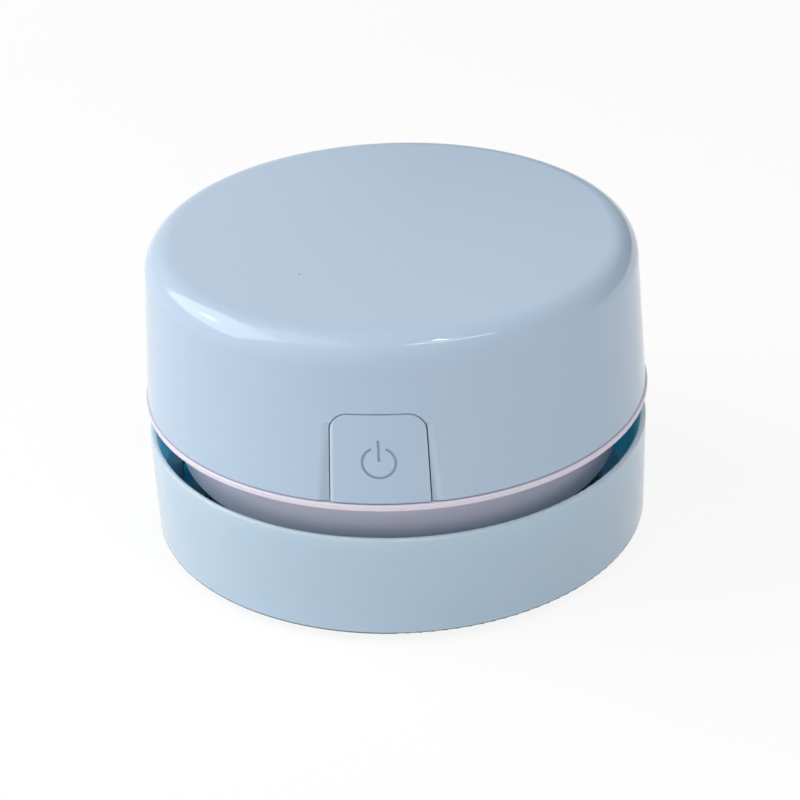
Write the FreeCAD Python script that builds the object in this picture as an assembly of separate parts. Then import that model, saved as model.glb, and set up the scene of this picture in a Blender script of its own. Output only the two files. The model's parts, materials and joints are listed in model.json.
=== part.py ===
import FreeCAD, Part
import math
import os

# Desktop mini vacuum cleaner. Millimetres, +Z up, the power button towards -Y.
# The origin is on the desk, under the middle of the round body.
# The dust cup stands on its feet and carries the filter. The head above it (chassis, cells, motor,
# fan and cover) seats on the filter, and a quarter-turn bayonet locks it to the cup.

# ---- dust cup ----
foot_drop = 1.4            # desk to the underside of the cup
foot_radius = 3.5
foot_inset = 0.8           # depth of the pocket that holds a foot
foot_count = 4
foot_edge_gap = 3.6        # from the foot's outermost point to the cup's outside
floor_thickness = 1.8
cup_wall = 1.4
cup_taper = 0.15           # how much narrower the cup is at its base
cup_base_round = 0.3
cup_rim_proud = 0.15       # how much wider the cup's rim is than the cover
cup_rim_wall = 0.9         # the wall thins to this at its rim
cup_rim_slope = 3.0        # height over which it thins
cup_rim_round = 0.42
cup_floor_round = 1.0
chamber_height = 8.8       # dust chamber, floor to the top of its wall
chamber_wall = 1.4
chamber_step = 0.2         # how far the chamber's wall stands inside the shroud's edge
mouth_radius = 4.5         # the suction mouth has round ends of this radius
mouth_half_run = 6.5       # and straight sides of twice this length
chimney_wall = 1.4
chimney_height = 5.0       # above the cup's floor
outlet_channel = 3.7       # between the skirt and the cup's outer wall
outlet_gap = 5.35          # open slot between the cup's rim and the flange

# ---- brush ----
brush_depth = 1.4          # pocket for the brush ring in the cup's underside
brush_width = 3.1
brush_pad_cover = 1.4      # floor left above the brush pocket
brush_fit = 0.15
tuft_radius = 0.45
tuft_count = 44
tuft_lift = 0.3            # the tuft tips stay this far off the desk
tuft_root = 0.7

# ---- filter ----
seal_thickness = 0.6
seal_fit = 0.2
filter_frame_height = 2.4
filter_web = 1.0           # thickness of the spokes and of the shelf under the mesh
filter_overhang = 0.8      # how far the frame reaches past the chamber's wall
filter_rim_width = 3.6
filter_shelf_width = 1.6
filter_collar_wall = 1.3
filter_collar_depth = 2.0
filter_fit = 0.3
filter_hub_radius = 5.0
spoke_count = 6
spoke_width = 1.6
mesh_thickness = 0.4
key_width = 3.0
key_reach = 1.1

# ---- fan ----
seat_gap = 0.3
fan_radius = 28.0
fan_tip_gap = 1.2          # between the fan and the posts round it
fan_running_gap = 0.8      # between the blades and the shroud
fan_plate = 1.0
fan_hub_radius = 3.6
fan_eye_radius = 11.0
blade_height = 4.4
blade_thickness = 1.0
blade_curve_radius = 18.0
blade_inner_radius = 9.0
blade_count = 9
fan_to_boss = 0.5          # between the fan and the motor's bearing boss
shroud_thickness = 1.5
shroud_boss_height = 1.5
shroud_rim = 2.6           # from the screw circle to the shroud's edge
exhaust_slot = 2.3         # between the shroud and the foot of the skirt

# ---- chassis ----
post_radius = 2.4
flange_thickness = 0.8
flange_proud = 0.3
flange_drop = 0.2          # how far the flange hangs below the motor's seat
flange_round = 0.2
deck_pocket_floor = 1.0
skirt_wall = 1.4
skirt_flare = 1.5          # how much wider the skirt is at its foot
spigot_height = 2.0
spigot_wall = 1.3
spigot_fit = 0.3
spigot_gap_half = 12.0     # half the spigot's opening behind the button
leg_width = 5.2
leg_drop = 9.3             # below the skirt's foot
leg_wall = 1.4
hook_height = 1.6
hook_reach = 2.1
leg_angles = (-90.0, 30.0, 150.0)

# ---- bayonet ledges in the cup ----
ledge_gap = 0.4            # above the hook
ledge_height = 1.6
ledge_reach = 3.0
ledge_start = 5.5          # degrees past the leg
ledge_stop = 30.5          # degrees past the leg, where the end stop begins
ledge_end = 33.0

# ---- screws ----
screw_radius = 0.95
screw_fit = 0.05
screw_head_radius = 1.9
screw_head_height = 1.2
screw_head_inset = 1.3
screw_bite = 5.5           # length in the post
screw_slot = 0.5
screw_slot_depth = 0.5
screw_slot_reach = 1.15

# ---- motor, 130 size ----
motor_radius = 10.05
motor_flat_depth = 2.5     # from its round sides in to the flats, which face the cells
motor_length = 25.0
motor_boss_height = 1.7
motor_boss_radius = 3.05
motor_can_wall = 0.9
end_cap_height = 4.8
end_cap_roof = 0.6
end_cap_cavity = 6.5
motor_fit = 0.15
motor_pocket_wall = 1.2
motor_pocket_height = 5.0
shaft_radius = 1.0
bush_gap = 0.04
bush_radius = 2.2
bush_length = 1.6
shaft_grip = 4.8           # length of the shaft in the fan's hub
magnet_thickness = 2.2
magnet_half_angle = 40.0
magnet_length = 15.5
magnet_fit = 0.05
armature_gap = 0.6         # between the magnets and the poles
armature_length = 10.0
armature_hub = 2.4
armature_arm = 2.2
armature_shoe = 1.1
shoe_half_angle = 48.0
winding_half_width = 2.6
winding_half_angle = 54.0  # of the room between two poles
winding_overhang = 1.4
commutator_radius = 2.6
commutator_length = 4.0
brush_leaf = 0.3
brush_half_width = 1.1
terminal_reach = 2.6

# ---- motor clamp ----
clamp_thickness = 1.0
clamp_half_width = 4.0
clamp_foot_thickness = 1.2
clamp_step = 3.2           # from the clamp's top down to the underside of its feet
clamp_gap = 0.35
clamp_post_radius = 2.6

# ---- cells and contacts ----
cell_radius = 7.1
cell_length = 50.5
cell_nub_radius = 2.7
cell_nub_length = 1.2
cell_lift = 1.2            # above the deck
cell_cover_gap = 1.6       # from the cell's corner to the cover's wall
saddle_fit = 0.15
saddle_half_width = 6.0
saddle_thickness = 2.0
saddle_spacing = 13.0
saddle_wrap = 2.3          # the saddles stop this far under the cell's axis
contact_space = 1.9        # between a cell's end and its end wall
contact_thickness = 0.4
contact_half_width = 4.0
contact_gap = 0.05
leaf_thickness = 0.35
leaf_half_width = 2.4
end_wall = 1.4
end_wall_half_width = 5.0
end_wall_rise = 4.6        # above the cell's axis
tab_reach = 5.2
tab_height = 2.0
tab_lift = 1.7             # above the cell's axis

# ---- top cover ----
cover_wall = 1.8
head_room = 0.6            # above the motor clamp
cover_slope = 0.0676       # taper, mm of radius for each mm of height
shoulder_round = 4.5
facet_depth = 1.19         # of the facet round the button, at the cover's lower edge
facet_slope = 0.046
facet_height = 13.8
facet_ramp = 1.4
reveal_height = 0.25       # of the fine groove along the cover's lower edge
reveal_depth = 0.6

# ---- power button ----
button_foot_half = 7.95
button_top_half = 7.4
button_height = 15.6
button_top_round = 3.0
button_foot_round = 0.4
button_edge_gap = 0.2      # round the button, in the cover's notch
button_foot_gap = 0.15
button_lip = 1.3           # how far the lip reaches behind the cover
button_lip_thickness = 1.2
button_lip_gap = 0.3
button_travel = 1.2
button_edge_round = 0.25
wing_thickness = 1.2
wing_outside = 9.0
wing_length = 4.2          # behind the button's plate
wing_foot = 1.5
wing_top = 12.0
guide_gap = 0.3
guide_thickness = 1.4
guide_depth = 2.5
guide_height = 11.0
mark_height = 7.45         # centre of the power figure above the cover's edge
mark_radius = 2.63
mark_line = 0.42
mark_depth = 0.25
mark_gap_half_angle = 26.0
mark_bar_low = 0.2
mark_bar_high = 3.85

# ---- switch ----
switch_height = 7.9        # of the plunger above the deck
switch_half = 4.25
switch_length = 8.0
plunger_half = 1.5
plunger_fit = 0.1
plunger_in_button = 1.7
plunger_bare = 1.4         # between the button's boss and the switch
plunger_inside = 2.3
plunger_end_room = 1.5
boss_radius = 3.0
boss_floor = 0.8           # between the button's plate and the plunger's end
cradle_wall = 1.2
cradle_fit = 0.15
cradle_height = 7.0
pin_pitch_half = 2.0
pin_length = 2.5
pin_width = 0.6
pin_height = 1.0

# ---- leads ----
lead_radius = 0.55
bend_share = 0.45          # of the shorter run, taken by an arc on each side of its point

# ---- heights that follow from the stack ----
z_under = foot_drop
z_floor = z_under + floor_thickness
z_chamber_top = z_floor + chamber_height
z_filter_low = z_chamber_top + seal_thickness
z_filter_top = z_filter_low + filter_frame_height
z_shroud_low = z_filter_top + seat_gap
z_shroud_top = z_shroud_low + shroud_thickness
z_blade_low = z_shroud_top + fan_running_gap
z_blade_top = z_blade_low + blade_height
z_fan_top = z_blade_top + fan_plate
z_boss_low = z_fan_top + fan_to_boss
z_motor = z_boss_low + motor_boss_height
z_deck_low = z_motor - deck_pocket_floor
z_deck = z_motor + flange_thickness
z_flange_low = z_motor - flange_drop
z_cup_rim = z_flange_low - outlet_gap
z_motor_top = z_motor + motor_length
z_clamp_top = z_motor_top + clamp_thickness
z_top = z_clamp_top + head_room + cover_wall
z_cell = z_deck + cell_lift + cell_radius
z_switch = z_deck + switch_height
z_leg_low = z_shroud_low - leg_drop
z_ledge = z_leg_low + hook_height + ledge_gap
z_can_top = z_motor_top - end_cap_height
z_bush_top = z_motor_top - end_cap_roof
z_cavity_top = z_bush_top - bush_length
z_boss_top = z_shroud_top + shroud_boss_height

boss_height = plunger_in_button + boss_floor

# ---- radii that follow from the stack ----
post_circle = fan_radius + fan_tip_gap + post_radius
shroud_radius = post_circle + shroud_rim
skirt_foot_radius = shroud_radius + exhaust_slot + skirt_wall
channel_radius = skirt_foot_radius + outlet_channel
body_radius = channel_radius + cup_wall
cup_rim_radius = body_radius + cup_rim_proud
chamber_outer = shroud_radius - chamber_step
chamber_inner = chamber_outer - chamber_wall
leg_outer = skirt_foot_radius - seat_gap / 2
foot_circle = body_radius - foot_edge_gap - foot_radius
brush_inner = mouth_radius + chimney_wall + brush_fit
brush_outer = brush_inner + brush_width
clamp_post_y = motor_radius + motor_fit + motor_pocket_wall + clamp_post_radius + clamp_gap
motor_half_width = motor_radius - motor_flat_depth
magnet_outer = motor_radius - motor_can_wall - magnet_fit
magnet_inner = magnet_outer - magnet_thickness
armature_radius = magnet_inner - armature_gap

FAR = 100.0                # longer than the whole body, for tools that cut right through
PAST = 1.0                 # how far a cutting tool runs past a face
FUSE = 0.4                 # how far a joined form reaches into its neighbour


def at(x, y, z):
    return FreeCAD.Vector(x, y, z)


def block(x_range, y_range, z_range):
    low = at(x_range[0], y_range[0], z_range[0])
    size = [high - low_end for low_end, high in (x_range, y_range, z_range)]
    return Part.makeBox(size[0], size[1], size[2], low)


def cylinder(radius, low, high, x=0.0, y=0.0):
    return Part.makeCylinder(radius, high - low, at(x, y, low))


def tube(outer, inner, low, high, x=0.0, y=0.0):
    return cylinder(outer, low, high, x, y).cut(cylinder(inner, low - PAST, high + PAST, x, y))


def bent_edges(points, radii, closed):
    """Straight edges through the points, with a tangent arc of its own radius at each corner."""
    last = len(points) - 1
    corners = []
    for index, corner in enumerate(points):
        if radii[index] == 0 or (not closed and index in (0, last)):
            corners.append((corner, None, corner))
            continue
        back = (points[index - 1] - corner).normalize()
        ahead = (points[(index + 1) % len(points)] - corner).normalize()
        half = back.getAngle(ahead) / 2
        inward = (back + ahead).normalize()
        setback = radii[index] / math.tan(half)
        middle = corner + inward * (radii[index] / math.sin(half) - radii[index])
        corners.append((corner + back * setback, middle, corner + ahead * setback))
    edges = []
    for index, (start, middle, end) in enumerate(corners):
        if middle is not None:
            edges.append(Part.Arc(start, middle, end).toShape())
        if closed or index < last:
            edges.append(Part.makeLine(end, corners[(index + 1) % len(points)][0]))
    return edges


def turned(profile):
    """A solid turned about Z from (radius, z, corner rounding) points."""
    points = [at(radius, 0, z) for radius, z, rounding in profile]
    wire = Part.Wire(bent_edges(points, [rounding for radius, z, rounding in profile], True))
    return Part.Face(wire).revolve(at(0, 0, 0), at(0, 0, 1), 360)


def front_prism(outline, y_range):
    """A prism along Y from (x, z, corner rounding) points."""
    points = [at(x, y_range[0], z) for x, z, rounding in outline]
    wire = Part.Wire(bent_edges(points, [rounding for x, z, rounding in outline], True))
    return Part.Face(wire).extrude(at(0, y_range[1] - y_range[0], 0))


def side_prism(outline, x_range):
    """A prism along X from (y, z) points."""
    points = [at(x_range[0], y, z) for y, z in outline]
    wire = Part.makePolygon(points + points[:1])
    return Part.Face(wire).extrude(at(x_range[1] - x_range[0], 0, 0))


def stadium_wire(radius, half_run, z):
    right = Part.Arc(at(half_run, -radius, z), at(half_run + radius, 0, z), at(half_run, radius, z))
    left = Part.Arc(at(-half_run, radius, z), at(-half_run - radius, 0, z), at(-half_run, -radius, z))
    back = Part.makeLine(at(half_run, radius, z), at(-half_run, radius, z))
    front = Part.makeLine(at(-half_run, -radius, z), at(half_run, -radius, z))
    return Part.Wire([right.toShape(), back, left.toShape(), front])


def stadium(radius, low, high):
    return Part.Face(stadium_wire(radius, mouth_half_run, low)).extrude(at(0, 0, high - low))


def turn(shape, degrees):
    return shape.rotated(at(0, 0, 0), at(0, 0, 1), degrees)


def around(shape, count):
    return [turn(shape, 360.0 * step / count) for step in range(count)]


def join(first, *others):
    return first.multiFuse(list(others)).removeSplitter()


def sector(outer, inner, low, high, start, end):
    """A piece of a tube between two angles in degrees."""
    inner_edge = at(inner, 0, low)
    outer_edge = at(outer, 0, low)
    section = Part.makePolygon([inner_edge, outer_edge, at(outer, 0, high), at(inner, 0, high), inner_edge])
    return turn(Part.Face(section).revolve(at(0, 0, 0), at(0, 0, 1), end - start), start)


def mirror_x(shape):
    return shape.mirror(at(0, 0, 0), at(1, 0, 0))


# ---- dust cup and what stays with it ----

def cup_shell():
    return turned([
        (0, z_under, 0),
        (cup_rim_radius - cup_taper, z_under, cup_base_round),
        (cup_rim_radius, z_cup_rim, cup_rim_round),
        (cup_rim_radius - cup_rim_wall, z_cup_rim, cup_rim_round),
        (channel_radius, z_cup_rim - cup_rim_slope, 0),
        (channel_radius - cup_taper, z_floor, cup_floor_round),
        (0, z_floor, 0),
    ])


def bayonet_ledge(angle):
    """The ledge that the hook turns under, with the stop at its end."""
    outer = channel_radius + FUSE
    inner = channel_radius - ledge_reach
    top = z_ledge + ledge_height
    shelf = sector(outer, inner, z_ledge, top, angle + ledge_start, angle + ledge_end)
    stop = sector(outer, inner, z_leg_low, z_ledge + FUSE, angle + ledge_stop, angle + ledge_end)
    return shelf.fuse(stop)


def foot_places():
    first = 180.0 / foot_count
    angles = [math.radians(first + 360.0 * step / foot_count) for step in range(foot_count)]
    return [(foot_circle * math.cos(angle), foot_circle * math.sin(angle)) for angle in angles]


def filter_key(grow):
    half = key_width / 2 + grow
    tip = chamber_inner - filter_fit + key_reach + grow
    root = chamber_inner - filter_fit - filter_collar_wall
    low = z_filter_low - filter_collar_depth - grow
    right = block((root, tip), (-half, half), (low, z_filter_low + grow))
    return right.fuse(mirror_x(right))


def dust_cup():
    chamber = tube(chamber_outer, chamber_inner, z_floor - FUSE, z_chamber_top)
    pad_top = z_under + brush_depth + brush_pad_cover
    pad = stadium(brush_outer + brush_fit + chimney_wall, z_floor - FUSE, pad_top)
    chimney_radius = mouth_radius + chimney_wall
    chimney = stadium(chimney_radius, z_under + FUSE, z_floor + chimney_height)
    ledges = [bayonet_ledge(angle) for angle in leg_angles]
    cup = join(cup_shell(), chamber, pad, chimney, *ledges)
    brush_pocket = stadium(brush_outer + brush_fit, z_under - PAST, z_under + brush_depth)
    brush_pocket = brush_pocket.cut(stadium(chimney_radius, z_under - 2 * PAST, z_under + 2 * brush_depth))
    mouth = stadium(mouth_radius, z_under - PAST, z_floor + chimney_height + PAST)
    pockets = [cylinder(foot_radius + brush_fit, z_under - PAST, z_under + foot_inset, x, y)
               for x, y in foot_places()]
    key_slots = filter_key(filter_fit)
    return cup.cut([brush_pocket, mouth, key_slots] + pockets)


def tuft_places():
    line = stadium_wire((brush_inner + brush_outer) / 2, mouth_half_run, 0.0)
    return line.discretize(Number=tuft_count + 1)[:-1]


def brush_ring():
    ring = stadium(brush_outer, z_under, z_under + brush_depth)
    ring = ring.cut(stadium(brush_inner, z_under - PAST, z_under + brush_depth + PAST))
    holes = [cylinder(tuft_radius, z_under - PAST, z_under + tuft_root, spot.x, spot.y)
             for spot in tuft_places()]
    return ring.cut(holes)


def bristle_tufts():
    tufts = [cylinder(tuft_radius, tuft_lift, z_under + tuft_root, spot.x, spot.y)
             for spot in tuft_places()]
    return Part.makeCompound(tufts)


def rubber_feet():
    feet = [cylinder(foot_radius, 0, z_under + foot_inset, x, y) for x, y in foot_places()]
    return Part.makeCompound(feet)


# ---- filter ----

def filter_frame():
    outer = chamber_outer + filter_overhang
    shelf_outer = outer - filter_rim_width
    shelf_inner = shelf_outer - filter_shelf_width
    web_top = z_filter_low + filter_web
    rim = tube(outer, shelf_outer, z_filter_low, z_filter_top)
    shelf = tube(shelf_outer + FUSE, shelf_inner, z_filter_low, web_top)
    collar_outer = chamber_inner - filter_fit
    collar_low = z_filter_low - filter_collar_depth
    collar = tube(collar_outer, collar_outer - filter_collar_wall, collar_low, z_filter_low + FUSE)
    hub = cylinder(filter_hub_radius, z_filter_low, web_top)
    spoke = block((0, shelf_inner + FUSE), (-spoke_width / 2, spoke_width / 2), (z_filter_low, web_top))
    return join(rim, shelf, collar, hub, filter_key(0.0), *around(spoke, spoke_count))


def filter_mesh():
    outer = chamber_outer + filter_overhang - filter_rim_width - filter_fit / 2
    low = z_filter_low + filter_web
    return cylinder(outer, low, low + mesh_thickness)


def filter_seal():
    ring = tube(chamber_outer + seal_fit, chamber_inner - filter_fit + seal_fit, z_chamber_top, z_filter_low)
    return ring.cut(filter_key(seal_fit))


# ---- head: chassis ----

def cover_radius_at(z):
    return body_radius - cover_slope * (z - z_deck)


def cover_form(inset, low):
    """The cover's outer form from a height upwards, drawn in by an inset."""
    top = z_top - inset
    return turned([
        (0, low, 0),
        (cover_radius_at(low) - inset, low, 0),
        (cover_radius_at(top) - inset, top, shoulder_round - inset),
        (0, top, 0),
    ])


def post_places():
    angles = [math.radians(90.0 + 120.0 * step) for step in range(3)]
    return [(post_circle * math.cos(angle), post_circle * math.sin(angle)) for angle in angles]


def clamp_posts():
    return [(0.0, clamp_post_y), (0.0, -clamp_post_y)]


def cell_x():
    """The cells lie as far out as the cover's wall lets their corners go."""
    inside = cover_radius_at(z_cell) - cover_wall - cell_cover_gap
    return math.sqrt(inside ** 2 - (cell_length / 2) ** 2) - cell_radius


def motor_form(grow, low, high):
    half = motor_half_width + grow
    return cylinder(motor_radius + grow, low, high).common(block((-half, half), (-FAR, FAR), (low, high)))


def skirt():
    top = z_motor + flange_thickness / 2
    foot = skirt_foot_radius
    return turned([
        (foot - skirt_flare, top, 0),
        (foot, z_shroud_low, 0),
        (foot - skirt_wall, z_shroud_low, 0),
        (foot - skirt_flare - skirt_wall, top, 0),
    ])


def leg(angle):
    outer = leg_outer
    inner = leg_outer - leg_wall
    half = math.degrees(leg_width / 2 / leg_outer)
    strut = sector(outer, inner + FUSE / 4, z_leg_low, z_shroud_low + FUSE, angle - half, angle + half)
    hook = sector(outer + hook_reach, outer - FUSE, z_leg_low, z_leg_low + hook_height,
                  angle - half, angle + half)
    return strut.fuse(hook)


def spigot():
    outer = body_radius - cover_wall - spigot_fit - cover_slope * spigot_height
    ring = tube(outer, outer - spigot_wall, z_deck - FUSE, z_deck + spigot_height)
    opening = block((-spigot_gap_half, spigot_gap_half), (-FAR, 0), (z_deck - FAR, z_deck + FAR))
    return ring.cut(opening)


def motor_pocket():
    top = z_deck + motor_pocket_height
    return motor_form(motor_fit + motor_pocket_wall, z_deck_low, top)


def cell_bed(side):
    """Two saddles under a cell and the two end walls behind its contacts."""
    x = side * cell_x()
    forms = []
    for y in (-saddle_spacing, saddle_spacing):
        saddle = block((x - saddle_half_width, x + saddle_half_width),
                       (y - saddle_thickness / 2, y + saddle_thickness / 2),
                       (z_deck - FUSE, z_cell - saddle_wrap))
        hollow = Part.makeCylinder(cell_radius + saddle_fit, FAR, at(x, -FAR / 2, z_cell), at(0, 1, 0))
        forms.append(saddle.cut(hollow))
    inner = cell_length / 2 + contact_space
    wall = block((x - end_wall_half_width, x + end_wall_half_width), (inner, inner + end_wall),
                 (z_deck - FUSE, z_cell + end_wall_rise))
    forms.append(wall)
    forms.append(wall.mirror(at(0, 0, 0), at(0, 1, 0)))
    return forms


def switch_front():
    """Y of the switch's front face."""
    lip_back = cover_radius_at(z_switch) - cover_wall - button_lip_gap - button_lip_thickness
    return -(lip_back - boss_height - plunger_bare)


def switch_cradle():
    front = switch_front()
    back = front + switch_length
    half = switch_half + cradle_fit
    outside = half + cradle_wall
    floor_top = z_switch - switch_half - cradle_fit
    pedestal = block((-outside, outside), (front, back + cradle_wall), (z_deck - FUSE, floor_top))
    top = z_deck + cradle_height
    sides = block((-outside, outside), (front, back + cradle_wall), (z_deck - FUSE, top))
    bay = block((-half, half), (front - PAST, back + cradle_fit), (floor_top - FUSE, top + PAST))
    pins = block((-pin_pitch_half - pin_width, pin_pitch_half + pin_width), (back - PAST, back + pin_length),
                 (z_switch - pin_height, top + PAST))
    return pedestal.fuse(sides.cut(bay)).cut(pins)


def button_guides():
    inside = wing_outside + guide_gap
    front = -cover_radius_at(z_deck) + cover_wall + button_lip_gap + button_lip_thickness + 2 * button_travel
    guide = block((inside, inside + guide_thickness), (front, front + guide_depth),
                  (z_deck - FUSE, z_deck + guide_height))
    return [guide, mirror_x(guide)]


def flange():
    edge = body_radius + flange_proud
    return turned([
        (0, z_flange_low, 0),
        (edge, z_flange_low, flange_round),
        (edge, z_deck, flange_round),
        (0, z_deck, 0),
    ])


def chassis():
    deck = cylinder(skirt_foot_radius - skirt_flare, z_deck_low, z_deck)
    posts = [cylinder(post_radius, z_boss_top, z_deck_low + FUSE, x, y) for x, y in post_places()]
    tall_top = z_clamp_top - clamp_step
    tall_posts = [cylinder(clamp_post_radius, z_deck - FUSE, tall_top, x, y) for x, y in clamp_posts()]
    legs = [leg(angle) for angle in leg_angles]
    beds = cell_bed(1) + cell_bed(-1)
    body = join(deck, flange(), skirt(), spigot(), motor_pocket(), switch_cradle(),
                *posts, *tall_posts, *legs, *beds, *button_guides())
    motor_room = motor_form(motor_fit, z_motor, z_deck + FAR)
    boss_hole = cylinder(motor_boss_radius + motor_fit, z_deck_low - PAST, z_motor + PAST)
    pilot = screw_radius + screw_fit
    low_holes = [cylinder(pilot, z_boss_top - PAST, z_boss_top + screw_bite, x, y) for x, y in post_places()]
    high_holes = [cylinder(pilot, tall_top - screw_bite, tall_top + PAST, x, y) for x, y in clamp_posts()]
    return body.cut([motor_room, boss_hole] + low_holes + high_holes)


# ---- head: fan shroud and screws ----

def fan_shroud():
    plate = cylinder(shroud_radius, z_shroud_low, z_shroud_top)
    bosses = [cylinder(post_radius, z_shroud_low, z_boss_top, x, y) for x, y in post_places()]
    shroud = join(plate, *bosses)
    eye = cylinder(fan_eye_radius, z_shroud_low - PAST, z_shroud_top + PAST)
    head_room_radius = screw_head_radius + screw_fit
    heads = [cylinder(head_room_radius, z_shroud_low - PAST, z_shroud_low + screw_head_inset, x, y)
             for x, y in post_places()]
    holes = [cylinder(screw_radius + screw_fit, z_shroud_low, z_boss_top + PAST, x, y)
             for x, y in post_places()]
    return shroud.cut([eye] + heads + holes)


def screw(x, y, seat, point, head_way):
    """A cross-slotted screw. The seat is the face under its head, and head_way is 1 for a head on top."""
    low, high = sorted((seat, point))
    shank = cylinder(screw_radius, low, high, x, y)
    head_end = seat + head_way * screw_head_height
    head = cylinder(screw_head_radius, min(seat, head_end), max(seat, head_end), x, y)
    slot_root = head_end - head_way * screw_slot_depth
    slot_z = (min(slot_root, head_end + head_way), max(slot_root, head_end + head_way))
    arm = screw_slot_reach
    half = screw_slot / 2
    first = block((x - arm, x + arm), (y - half, y + half), slot_z)
    second = block((x - half, x + half), (y - arm, y + arm), slot_z)
    return shank.fuse(head).removeSplitter().cut([first, second])


def shroud_screws():
    seat = z_shroud_low + screw_head_inset
    point = z_boss_top + screw_bite - seat_gap
    return Part.makeCompound([screw(x, y, seat, point, -1) for x, y in post_places()])


def clamp_screws():
    seat = z_clamp_top - clamp_step + clamp_foot_thickness
    point = z_clamp_top - clamp_step - screw_bite + seat_gap
    return Part.makeCompound([screw(x, y, seat, point, 1) for x, y in clamp_posts()])


def motor_clamp():
    half = clamp_half_width
    rise = motor_radius + clamp_gap
    reach = clamp_post_y + clamp_post_radius
    foot_low = z_clamp_top - clamp_step
    bridge_half = rise + clamp_thickness
    bridge = block((-half, half), (-bridge_half, bridge_half), (z_motor_top, z_clamp_top))
    riser = block((-half, half), (rise, rise + clamp_thickness), (foot_low, z_clamp_top))
    foot = block((-half, half), (rise, reach), (foot_low, foot_low + clamp_foot_thickness))
    legs = [riser, foot, turn(riser, 180), turn(foot, 180)]
    holes = [cylinder(screw_radius + screw_fit, foot_low - PAST, z_clamp_top - clamp_thickness, x, y)
             for x, y in clamp_posts()]
    return join(bridge, *legs).cut(holes)


# ---- head: motor ----

def motor_can():
    can = motor_form(0.0, z_motor, z_can_top)
    boss = cylinder(motor_boss_radius, z_boss_low, z_motor + FUSE)
    hollow = motor_form(-motor_can_wall, z_motor + motor_can_wall, z_can_top + PAST)
    bore = cylinder(bush_radius, z_boss_low - PAST, z_motor + 2 * PAST)
    return join(can, boss).cut([hollow, bore])


def motor_magnets():
    low = z_motor + motor_can_wall + bush_length
    high = low + magnet_length
    start = 90 - magnet_half_angle
    first = sector(magnet_outer, magnet_inner, low, high, start, start + 2 * magnet_half_angle)
    return Part.makeCompound([first, turn(first, 180)])


def brush_leaf_form(grow):
    """One brush: a leaf on the commutator and its terminal through the end cap."""
    leaf_inside = commutator_radius + contact_gap
    half = brush_half_width + grow
    leaf = block((leaf_inside - grow, leaf_inside + brush_leaf + grow), (-half, half),
                 (z_can_top - commutator_length / 2, z_cavity_top))
    tab = block((leaf_inside, motor_half_width + terminal_reach), (-half, half),
                (z_cavity_top - 2 * brush_leaf - grow, z_cavity_top + grow))
    return leaf.fuse(tab).removeSplitter()


def motor_end_cap():
    cap = motor_form(0.0, z_can_top, z_motor_top)
    cavity = cylinder(end_cap_cavity, z_can_top - PAST, z_cavity_top)
    bush_seat = cylinder(bush_radius, z_can_top, z_bush_top)
    tab = brush_leaf_form(screw_fit)
    return cap.cut([cavity, bush_seat, tab, turn(tab, 180)])


def motor_bushes():
    bore = shaft_radius + bush_gap
    low = tube(bush_radius, bore, z_boss_low, z_boss_low + bush_length)
    high = tube(bush_radius, bore, z_cavity_top, z_bush_top)
    return Part.makeCompound([low, high])


def motor_brushes():
    brush = brush_leaf_form(0.0)
    return Part.makeCompound([brush, turn(brush, 180)])


# ---- rotor ----

def motor_shaft():
    return cylinder(shaft_radius, z_fan_top - shaft_grip, z_bush_top - bush_gap)


def armature_low():
    middle = z_motor + motor_can_wall + bush_length + magnet_length / 2
    return middle - armature_length / 2


def armature_core():
    low = armature_low()
    high = low + armature_length
    hub = cylinder(armature_hub, low, high)
    arm = block((0, armature_radius - armature_shoe / 2), (-armature_arm / 2, armature_arm / 2), (low, high))
    shoe_inner = armature_radius - armature_shoe
    shoe = sector(armature_radius, shoe_inner, low, high, -shoe_half_angle, shoe_half_angle)
    core = join(hub, *around(arm, 3), *around(shoe, 3))
    return core.cut(cylinder(shaft_radius, low - PAST, high + PAST))


def armature_windings():
    low = armature_low() - winding_overhang
    high = armature_low() + armature_length + winding_overhang
    outer = armature_radius - armature_shoe - seat_gap / 3
    inner = armature_hub + seat_gap / 3
    half = winding_half_width
    wedge = sector(outer, inner, low, high, -winding_half_angle, winding_half_angle)
    coil = wedge.common(block((0, outer), (-half, half), (low - PAST, high + PAST)))
    slot = block((0, armature_radius), (-armature_arm / 2, armature_arm / 2),
                 (armature_low(), armature_low() + armature_length))
    return Part.makeCompound(around(coil.cut(slot), 3))


def commutator():
    high = z_can_top + commutator_length / 4
    return tube(commutator_radius, shaft_radius, high - commutator_length, high)


def impeller():
    plate = cylinder(fan_radius, z_blade_top, z_fan_top)
    hub = cylinder(fan_hub_radius, z_blade_low, z_fan_top)
    curve = blade_curve_radius
    half = blade_thickness / 2
    arc = tube(curve + half, curve - half, z_blade_low, z_blade_top + FUSE, curve, 0.0)
    swept = tube(fan_radius, blade_inner_radius, z_blade_low, z_blade_top + FUSE)
    blade = arc.common(swept).common(block((-FAR, FAR), (0, FAR), (z_blade_low, z_fan_top)))
    fan = join(plate, hub, *around(blade, blade_count))
    return fan.cut(cylinder(shaft_radius, z_fan_top - shaft_grip, z_fan_top + PAST))


# ---- cells, contacts ----

def cell(side, nub_way):
    """A cell along Y, with its nub towards nub_way."""
    x = side * cell_x()
    start = -nub_way * cell_length / 2
    base = at(x, start, z_cell)
    body = Part.makeCylinder(cell_radius, cell_length - cell_nub_length, base, at(0, nub_way, 0))
    nub = Part.makeCylinder(cell_nub_radius, cell_length, base, at(0, nub_way, 0))
    return body.fuse(nub).removeSplitter()


def battery_left():
    return cell(-1, -1)


def battery_right():
    return cell(1, 1)


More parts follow.
